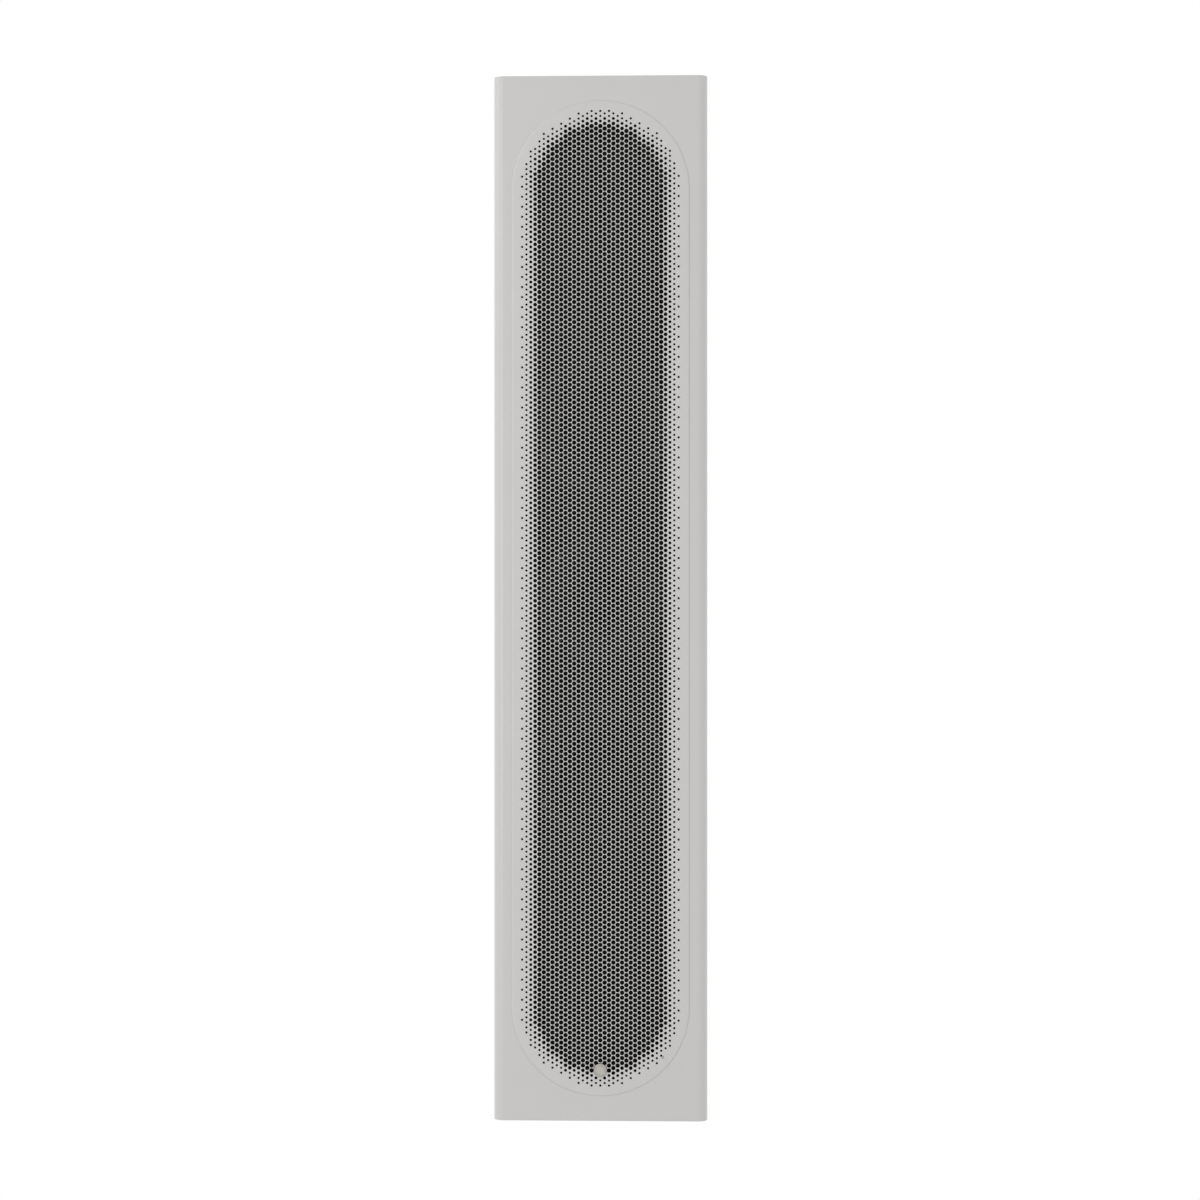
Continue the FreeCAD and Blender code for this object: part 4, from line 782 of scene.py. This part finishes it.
class SPEAKER_OT_badge(bpy.types.Operator):
    """Build the plain badge and a black disc behind it, painted shade for the gap round its upper half"""

    bl_idname = "speaker.badge"
    bl_label = "Badge"

    def execute(self, context):
        sizes = context.scene.speaker_badge
        low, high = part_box("grille_badge")
        centre = badge_centre()
        back = high[1]
        front = low[1]
        bm = bmesh.new()
        bevel = sizes.dish / 2
        rim = sizes.radius - sizes.rim
        face = front + sizes.dish
        profile = (
            (0, back), (sizes.radius, back), (sizes.radius, front + bevel), (sizes.radius - bevel, front),
            (rim + bevel, front), (rim, face), (sizes.ring + sizes.ring_height, face),
            (sizes.ring, face - sizes.ring_height), (sizes.ring - sizes.ring_height, face), (0, face))
        vert = bm.verts.new((profile[0][0], profile[0][1], centre.z))
        for reach, depth in profile[1:]:
            vert = drawn_on(bm, vert, (reach, depth, centre.z))
        turned(bm, sizes.turn_steps, centre)
        metal = make_finish("badge_brushed", sizes.metal, "rings", size=0.0006, depth=0.00002,
                            roughness=0.34, metallic=1.0, centre=centre)
        disc = new_piece("badge_disc", bm, [metal])
        carried(disc, "grille", "badge_metal", "grille_badge")

        # Black disc set a little higher than the badge: the crescent it shows above the badge is painted
        # shade for the gap round it.
        bm = bmesh.new()
        place = Matrix.Translation((0, back - sizes.shade_height / 2, centre.z + sizes.shade_lift))
        bmesh.ops.create_cone(
            bm, cap_ends=True, segments=sizes.turn_steps, radius1=sizes.shade_radius,
            radius2=sizes.shade_radius, depth=sizes.shade_height,
            matrix=place @ Matrix.Rotation(math.pi / 2, 4, "X"))
        shade_black_finish = make_finish("badge_painted_shade_black", (0.006, 0.006, 0.006), "grain", size=0.0003, depth=0.00005,
                           roughness=0.9)
        shade_disc = new_piece("badge_painted_shade_disc", bm, [shade_black_finish])
        carried(shade_disc, "grille", "seal_foam")
        return {"FINISHED"}


def radial_blend(piece, moving, centre, still, full):
    """Blends a turned piece by its distance from the axis: still outside, moving inside."""
    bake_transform(piece, "cabinet", moving, (centre.x + still, centre.y, centre.z),
             (centre.x + full, centre.y, centre.z))
    weights = piece.data.attributes["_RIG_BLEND"].data
    for vert in piece.data.vertices:
        reach = math.hypot(vert.co.x - centre.x, vert.co.z - centre.z)
        share = min(1.0, max(0.0, (still - reach) / (still - full)))
        weights[vert.index].value = share * share * (3 - 2 * share)


def driver_centre(which):
    """Middle of a woofer's cone, on its axis."""
    low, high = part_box(which + "_woofer_cone")
    return (Vector(low) + Vector(high)) / 2


class SPEAKER_OT_surrounds(bpy.types.Operator):
    """Build the woofers' rubber surrounds"""

    bl_idname = "speaker.surrounds"
    bl_label = "Surrounds"

    def execute(self, context):
        sizes = context.scene.speaker_driver
        rubber = make_finish("surround_satin", (0.008, 0.008, 0.0083), "grain", size=0.0004, depth=0.00001,
                             roughness=0.38, mottle=0.15, specular=0.12)
        for which in WOOFERS:
            centre = driver_centre(which)
            middle = (sizes.roll_outer + sizes.roll_inner) / 2
            bm = bmesh.new()
            lip = bm.verts.new((sizes.surround_outer, sizes.lip_level, centre.z))
            foot = drawn_on(bm, lip, (sizes.roll_outer, sizes.lip_level, centre.z))
            end = turned_on(bm, foot, (middle, sizes.lip_level, centre.z), (0, 0, -1), math.pi,
                            sizes.roll_steps)
            drawn_on(bm, end, (sizes.surround_inner, sizes.lip_level, centre.z))
            turned(bm, sizes.turn_steps, centre)
            face_front(bm)
            piece = new_piece(which + "_surround_roll", bm, [rubber])
            thickened(piece, sizes.surround_skin)
            radial_blend(piece, which + "_cone", centre, sizes.roll_outer, sizes.roll_inner)
            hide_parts(which + "_woofer_surround")
        return {"FINISHED"}


class SPEAKER_OT_spiders(bpy.types.Operator):
    """Build the woofers' corrugated spiders"""

    bl_idname = "speaker.spiders"
    bl_label = "Spiders"

    def execute(self, context):
        sizes = context.scene.speaker_driver
        cloth = make_finish("spider_weave", (0.42, 0.28, 0.12), "weave", size=0.0007, depth=0.0001,
                            roughness=0.85)
        for which in WOOFERS:
            centre = driver_centre(which)
            step = (sizes.wave_outer - sizes.wave_inner) / sizes.waves
            bm = bmesh.new()
            vert = bm.verts.new((sizes.spider_outer, sizes.spider_level, centre.z))
            vert = drawn_on(bm, vert, (sizes.wave_outer, sizes.spider_level, centre.z))
            for number in range(sizes.waves):
                reach = sizes.wave_outer - (number + 0.5) * step
                side = 1 if number % 2 else -1
                vert = drawn_on(bm, vert, (reach, sizes.spider_level + side * sizes.wave_height, centre.z))
            vert = drawn_on(bm, vert, (sizes.wave_inner, sizes.spider_level, centre.z))
            drawn_on(bm, vert, (sizes.spider_inner, sizes.spider_level, centre.z))
            bmesh.ops.subdivide_edges(bm, edges=bm.edges[:], cuts=sizes.wave_cuts, smooth=1.0)
            turned(bm, sizes.turn_steps, centre)
            face_front(bm)
            piece = new_piece(which + "_spider_cloth", bm, [cloth])
            thickened(piece, sizes.spider_skin)
            radial_blend(piece, which + "_cone", centre, sizes.wave_outer, sizes.wave_inner)
            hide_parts(which + "_woofer_spider")
        return {"FINISHED"}


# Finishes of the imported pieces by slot: colour, relief, its size and depth in metres, roughness, and
# what else is not as usual
FINISHES = {
    "cabinet_paint": ((0.57, 0.565, 0.55), "grain", 0.0006, 0.000012, 0.5, {}),
    "grille_paint": ((0.57, 0.565, 0.55), "grain", 0.0005, 0.000012, 0.5, {}),
    "badge_metal": ((0.62, 0.59, 0.55), "brushed", 0.0003, 0.00001, 0.35, {"metallic": 1.0}),
    "baffle_black": ((0.008, 0.008, 0.008), "fibre", 0.0015, 0.00008, 0.75,
                     {"mottle": 0.2, "specular": 0.12}),
    "rear_black": ((0.012, 0.012, 0.0125), "grain", 0.0009, 0.00008, 0.62,
                   {"mottle": 0.15, "specular": 0.3}),
    "raw_board": ((0.36, 0.25, 0.15), "fibre", 0.0016, 0.0001, 0.82, {"mottle": 0.14, "cloud": 0.008}),
    "seal_foam": ((0.03, 0.03, 0.032), "fibre", 0.0012, 0.0003, 0.9, {"mottle": 0.2}),
    "damping_felt": ((0.30, 0.29, 0.27), "fibre", 0.003, 0.0008, 0.95, {"mottle": 0.2, "sheen": 0.4}),
    "black_steel": ((0.02, 0.02, 0.021), "grain", 0.0004, 0.00001, 0.38, {"metallic": 0.6, "mottle": 0.1}),
    "zinc_steel": ((0.58, 0.585, 0.58), "brushed", 0.0008, 0.00002, 0.36, {"metallic": 1.0, "mottle": 0.08}),
    "bumper_rubber": ((0.018, 0.018, 0.018), "grain", 0.0005, 0.00003, 0.72, {"mottle": 0.2}),
    "magnet_nickel": ((0.66, 0.64, 0.60), "grain", 0.0008, 0.000006, 0.2, {"metallic": 1.0}),
    "driver_black": ((0.008, 0.008, 0.0082), "grain", 0.0006, 0.00003, 0.45,
                     {"mottle": 0.12, "specular": 0.12}),
    "dome_cloth": ((0.009, 0.009, 0.0095), "weave", 0.0005, 0.00006, 0.55, {"specular": 0.12}),
    "winding_copper": ((0.72, 0.33, 0.15), "turns", 0.0006, 0.0001, 0.3, {"metallic": 1.0, "mottle": 0.12}),
    "motor_steel": ((0.48, 0.48, 0.47), "rings", 0.0009, 0.00002, 0.38, {"metallic": 1.0}),
    "ferrite": ((0.035, 0.035, 0.038), "grain", 0.0012, 0.0001, 0.66, {"mottle": 0.25}),
    "tag_brass": ((0.70, 0.52, 0.25), "brushed", 0.0005, 0.00002, 0.32, {"metallic": 1.0}),
    "board_laminate": ((0.05, 0.14, 0.06), "weave", 0.0011, 0.00003, 0.45, {"mottle": 0.12, "coat": 0.3}),
    "spacer_plastic": ((0.62, 0.61, 0.58), "grain", 0.0006, 0.00002, 0.5, {}),
    "capacitor_film": ((0.55, 0.40, 0.06), "turns", 0.0016, 0.00003, 0.35, {"coat": 0.3, "mottle": 0.08}),
    "resistor_ceramic": ((0.66, 0.65, 0.61), "grain", 0.0007, 0.00006, 0.78, {"mottle": 0.08}),
    "post_brass": ((0.83, 0.60, 0.25), "turns", 0.0008, 0.00006, 0.24, {"metallic": 1.0}),
    "cap_red": ((0.36, 0.012, 0.012), "grain", 0.0007, 0.000015, 0.3, {"coat": 0.3, "mottle": 0.06}),
    "cap_black": ((0.012, 0.012, 0.013), "grain", 0.0007, 0.000015, 0.3, {"coat": 0.3, "mottle": 0.1}),
    "lead_cover": ((0.05, 0.05, 0.055), "turns", 0.003, 0.00008, 0.5, {"mottle": 0.15}),
    "surround_rubber": ((0.012, 0.012, 0.0125), "grain", 0.0004, 0.00001, 0.42, {}),
    "cone_paper": ((0.01, 0.01, 0.0104), "fibre", 0.0011, 0.00012, 0.75,
                   {"mottle": 0.25, "cloud": 0.006, "specular": 0.1}),
    "spider_cloth": ((0.42, 0.28, 0.12), "weave", 0.0007, 0.0001, 0.85, {}),
}


class SPEAKER_OT_finishes(bpy.types.Operator):
    """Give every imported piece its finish"""

    bl_idname = "speaker.finishes"
    bl_label = "Finishes"

    def execute(self, context):
        made = {}
        for slot, (colour, kind, size, depth, roughness, more) in FINISHES.items():
            made[slot] = make_finish(slot + "_finish", colour, kind, size, depth, roughness, **more)
        for part in frame["record"]["subparts"]:
            node = frame["nodes"][part["node"]]
            node.material_slots[0].material = made[part["material_slot"]]
        return {"FINISHED"}


def studio_rays(tree):
    """1 for rays that see the studio itself: straight from the camera, mirrored or let through."""
    path = add_node(tree, "ShaderNodeLightPath")
    seen = joined(tree, "MAXIMUM", path.outputs["Is Camera Ray"], path.outputs["Is Glossy Ray"])
    return joined(tree, "MAXIMUM", seen, path.outputs["Is Transmission Ray"])


def studio_world(sizes):
    """White to the eye, dimmer as a light, with more of it from both sides."""
    world = bpy.data.worlds.new("studio")
    world.use_nodes = True
    tree = world.node_tree
    light = tree.nodes["Background"]
    light.inputs["Color"].default_value = (1, 1, 1, 1)
    direction = add_node(tree, "ShaderNodeTexCoord")
    axes = add_node(tree, "ShaderNodeSeparateXYZ")
    tree.links.new(direction.outputs["Generated"], axes.inputs[0])
    even = add_node(tree, "ShaderNodeMapRange", {
        "From Min": -1.0, "From Max": 1.0, "To Min": sizes.ambient * (1 + sizes.lean),
        "To Max": sizes.ambient * (1 - sizes.lean)})
    tree.links.new(axes.outputs["X"], even.inputs["Value"])
    aside = joined(tree, "MULTIPLY", axes.outputs["X"], axes.outputs["X"])
    strength = add_node(tree, "ShaderNodeMath", {1: sizes.ambient * sizes.sides}, operation="MULTIPLY_ADD")
    tree.links.new(aside, strength.inputs[0])
    tree.links.new(even.outputs["Result"], strength.inputs[2])
    tree.links.new(strength.outputs["Value"], light.inputs["Strength"])
    white = add_node(tree, "ShaderNodeBackground", {"Color": (1, 1, 1, 1), "Strength": 1.0})
    mix = add_node(tree, "ShaderNodeMixShader")
    tree.links.new(studio_rays(tree), mix.inputs[0])
    tree.links.new(light.outputs[0], mix.inputs[1])
    tree.links.new(white.outputs[0], mix.inputs[2])
    tree.links.new(mix.outputs[0], tree.nodes["World Output"].inputs["Surface"])
    return world


def studio_floor(sizes):
    """Wide pale floor below the object."""
    bm = bmesh.new()
    bmesh.ops.create_grid(bm, x_segments=1, y_segments=1, size=FLOOR_REACH,
                          matrix=Matrix.Translation((0, 0, sizes.floor_level)))
    material = make_finish("floor_pale", (0.86, 0.86, 0.85), "grain", size=0.01, depth=0.00002,
                           roughness=0.9, mottle=0.004, cloud=0.4)
    tree = material.node_tree
    white = add_node(tree, "ShaderNodeEmission", {"Color": (1, 1, 1, 1), "Strength": 1.0})
    mix = add_node(tree, "ShaderNodeMixShader")
    tree.links.new(studio_rays(tree), mix.inputs[0])
    tree.links.new(tree.nodes["Principled BSDF"].outputs[0], mix.inputs[1])
    tree.links.new(white.outputs[0], mix.inputs[2])
    tree.links.new(mix.outputs[0], tree.nodes["Material Output"].inputs["Surface"])
    return new_piece("studio_floor", bm, [material])


def studio_light(name, place, width, height, power):
    """Soft light aimed at the object's middle."""
    data = bpy.data.lights.new(name, "AREA")
    data.shape = "RECTANGLE"
    data.size = width
    data.size_y = height
    data.energy = power
    light = bpy.data.objects.new(name, data)
    light.location = place
    light.rotation_euler = (-Vector(place)).to_track_quat("-Z", "Y").to_euler()
    bpy.context.scene.collection.objects.link(light)
    return light


def studio_camera(sizes):
    """Camera in front, turned a little to the right, framed like the photo."""
    data = bpy.data.cameras.new("camera")
    data.sensor_width = SENSOR
    data.lens = sizes.distance * SENSOR / 2 / sizes.half_view
    data.shift_x = sizes.shift[0]
    data.shift_y = sizes.shift[1]
    data.clip_end = VIEW_END
    data.dof.use_dof = False
    camera = bpy.data.objects.new("camera", data)
    front = bpy.context.scene.speaker_grille.front
    aside = sizes.distance * math.sin(sizes.turn)
    ahead = sizes.distance * math.cos(sizes.turn)
    camera.location = (aside, front - ahead, 0)
    camera.rotation_euler = (math.pi / 2, 0, sizes.turn)
    bpy.context.scene.collection.objects.link(camera)
    return camera


class SPEAKER_OT_stage(bpy.types.Operator):
    """Set up camera, light and floor"""

    bl_idname = "speaker.stage"
    bl_label = "Stage"

    def execute(self, context):
        scene = context.scene
        sizes = scene.speaker_stage
        scene.world = studio_world(sizes)
        floor = studio_floor(sizes)
        key = studio_light("key_light", sizes.key_place, sizes.key_size, sizes.key_size, sizes.key_power)
        aside = Vector((-math.sin(sizes.strip_turn), -math.cos(sizes.strip_turn), 0)) * sizes.distance
        strip = studio_light("strip_light", aside, *sizes.strip_size, sizes.strip_power)
        camera = studio_camera(sizes)
        scene.camera = camera
        scene.view_settings.view_transform = "Standard"
        return {"FINISHED"}


class SPEAKER_PT_panel(bpy.types.Panel):
    """Steps of the build, in order"""

    bl_idname = "SPEAKER_PT_panel"
    bl_label = "On-wall speaker"
    bl_space_type = "VIEW_3D"
    bl_region_type = "UI"
    bl_category = "Speaker"

    def draw(self, context):
        for operator in OPERATORS:
            self.layout.operator(operator.bl_idname)


SETTINGS = {
    "speaker_cabinet": CabinetSettings,
    "speaker_grille": GrilleSettings,
    "speaker_badge": BadgeSettings,
    "speaker_driver": DriverSettings,
    "speaker_stage": StageSettings,
}
OPERATORS = (
    SPEAKER_OT_cabinet,
    SPEAKER_OT_grille,
    SPEAKER_OT_badge,
    SPEAKER_OT_surrounds,
    SPEAKER_OT_spiders,
    SPEAKER_OT_finishes,
    SPEAKER_OT_stage,
)


def register():
    for name, group in SETTINGS.items():
        bpy.utils.register_class(group)
        setattr(bpy.types.Scene, name, PointerProperty(type=group))
    for operator in OPERATORS:
        bpy.utils.register_class(operator)
    bpy.utils.register_class(SPEAKER_PT_panel)


def unregister():
    bpy.utils.unregister_class(SPEAKER_PT_panel)
    for operator in reversed(OPERATORS):
        bpy.utils.unregister_class(operator)
    for name, group in SETTINGS.items():
        delattr(bpy.types.Scene, name)
        bpy.utils.unregister_class(group)


def main():
    register()
    bpy.ops.speaker.cabinet()
    bpy.ops.speaker.grille()
    bpy.ops.speaker.badge()
    bpy.ops.speaker.surrounds()
    bpy.ops.speaker.spiders()
    bpy.ops.speaker.finishes()
    bpy.ops.speaker.stage()


if __name__ == "__main__":
    main()
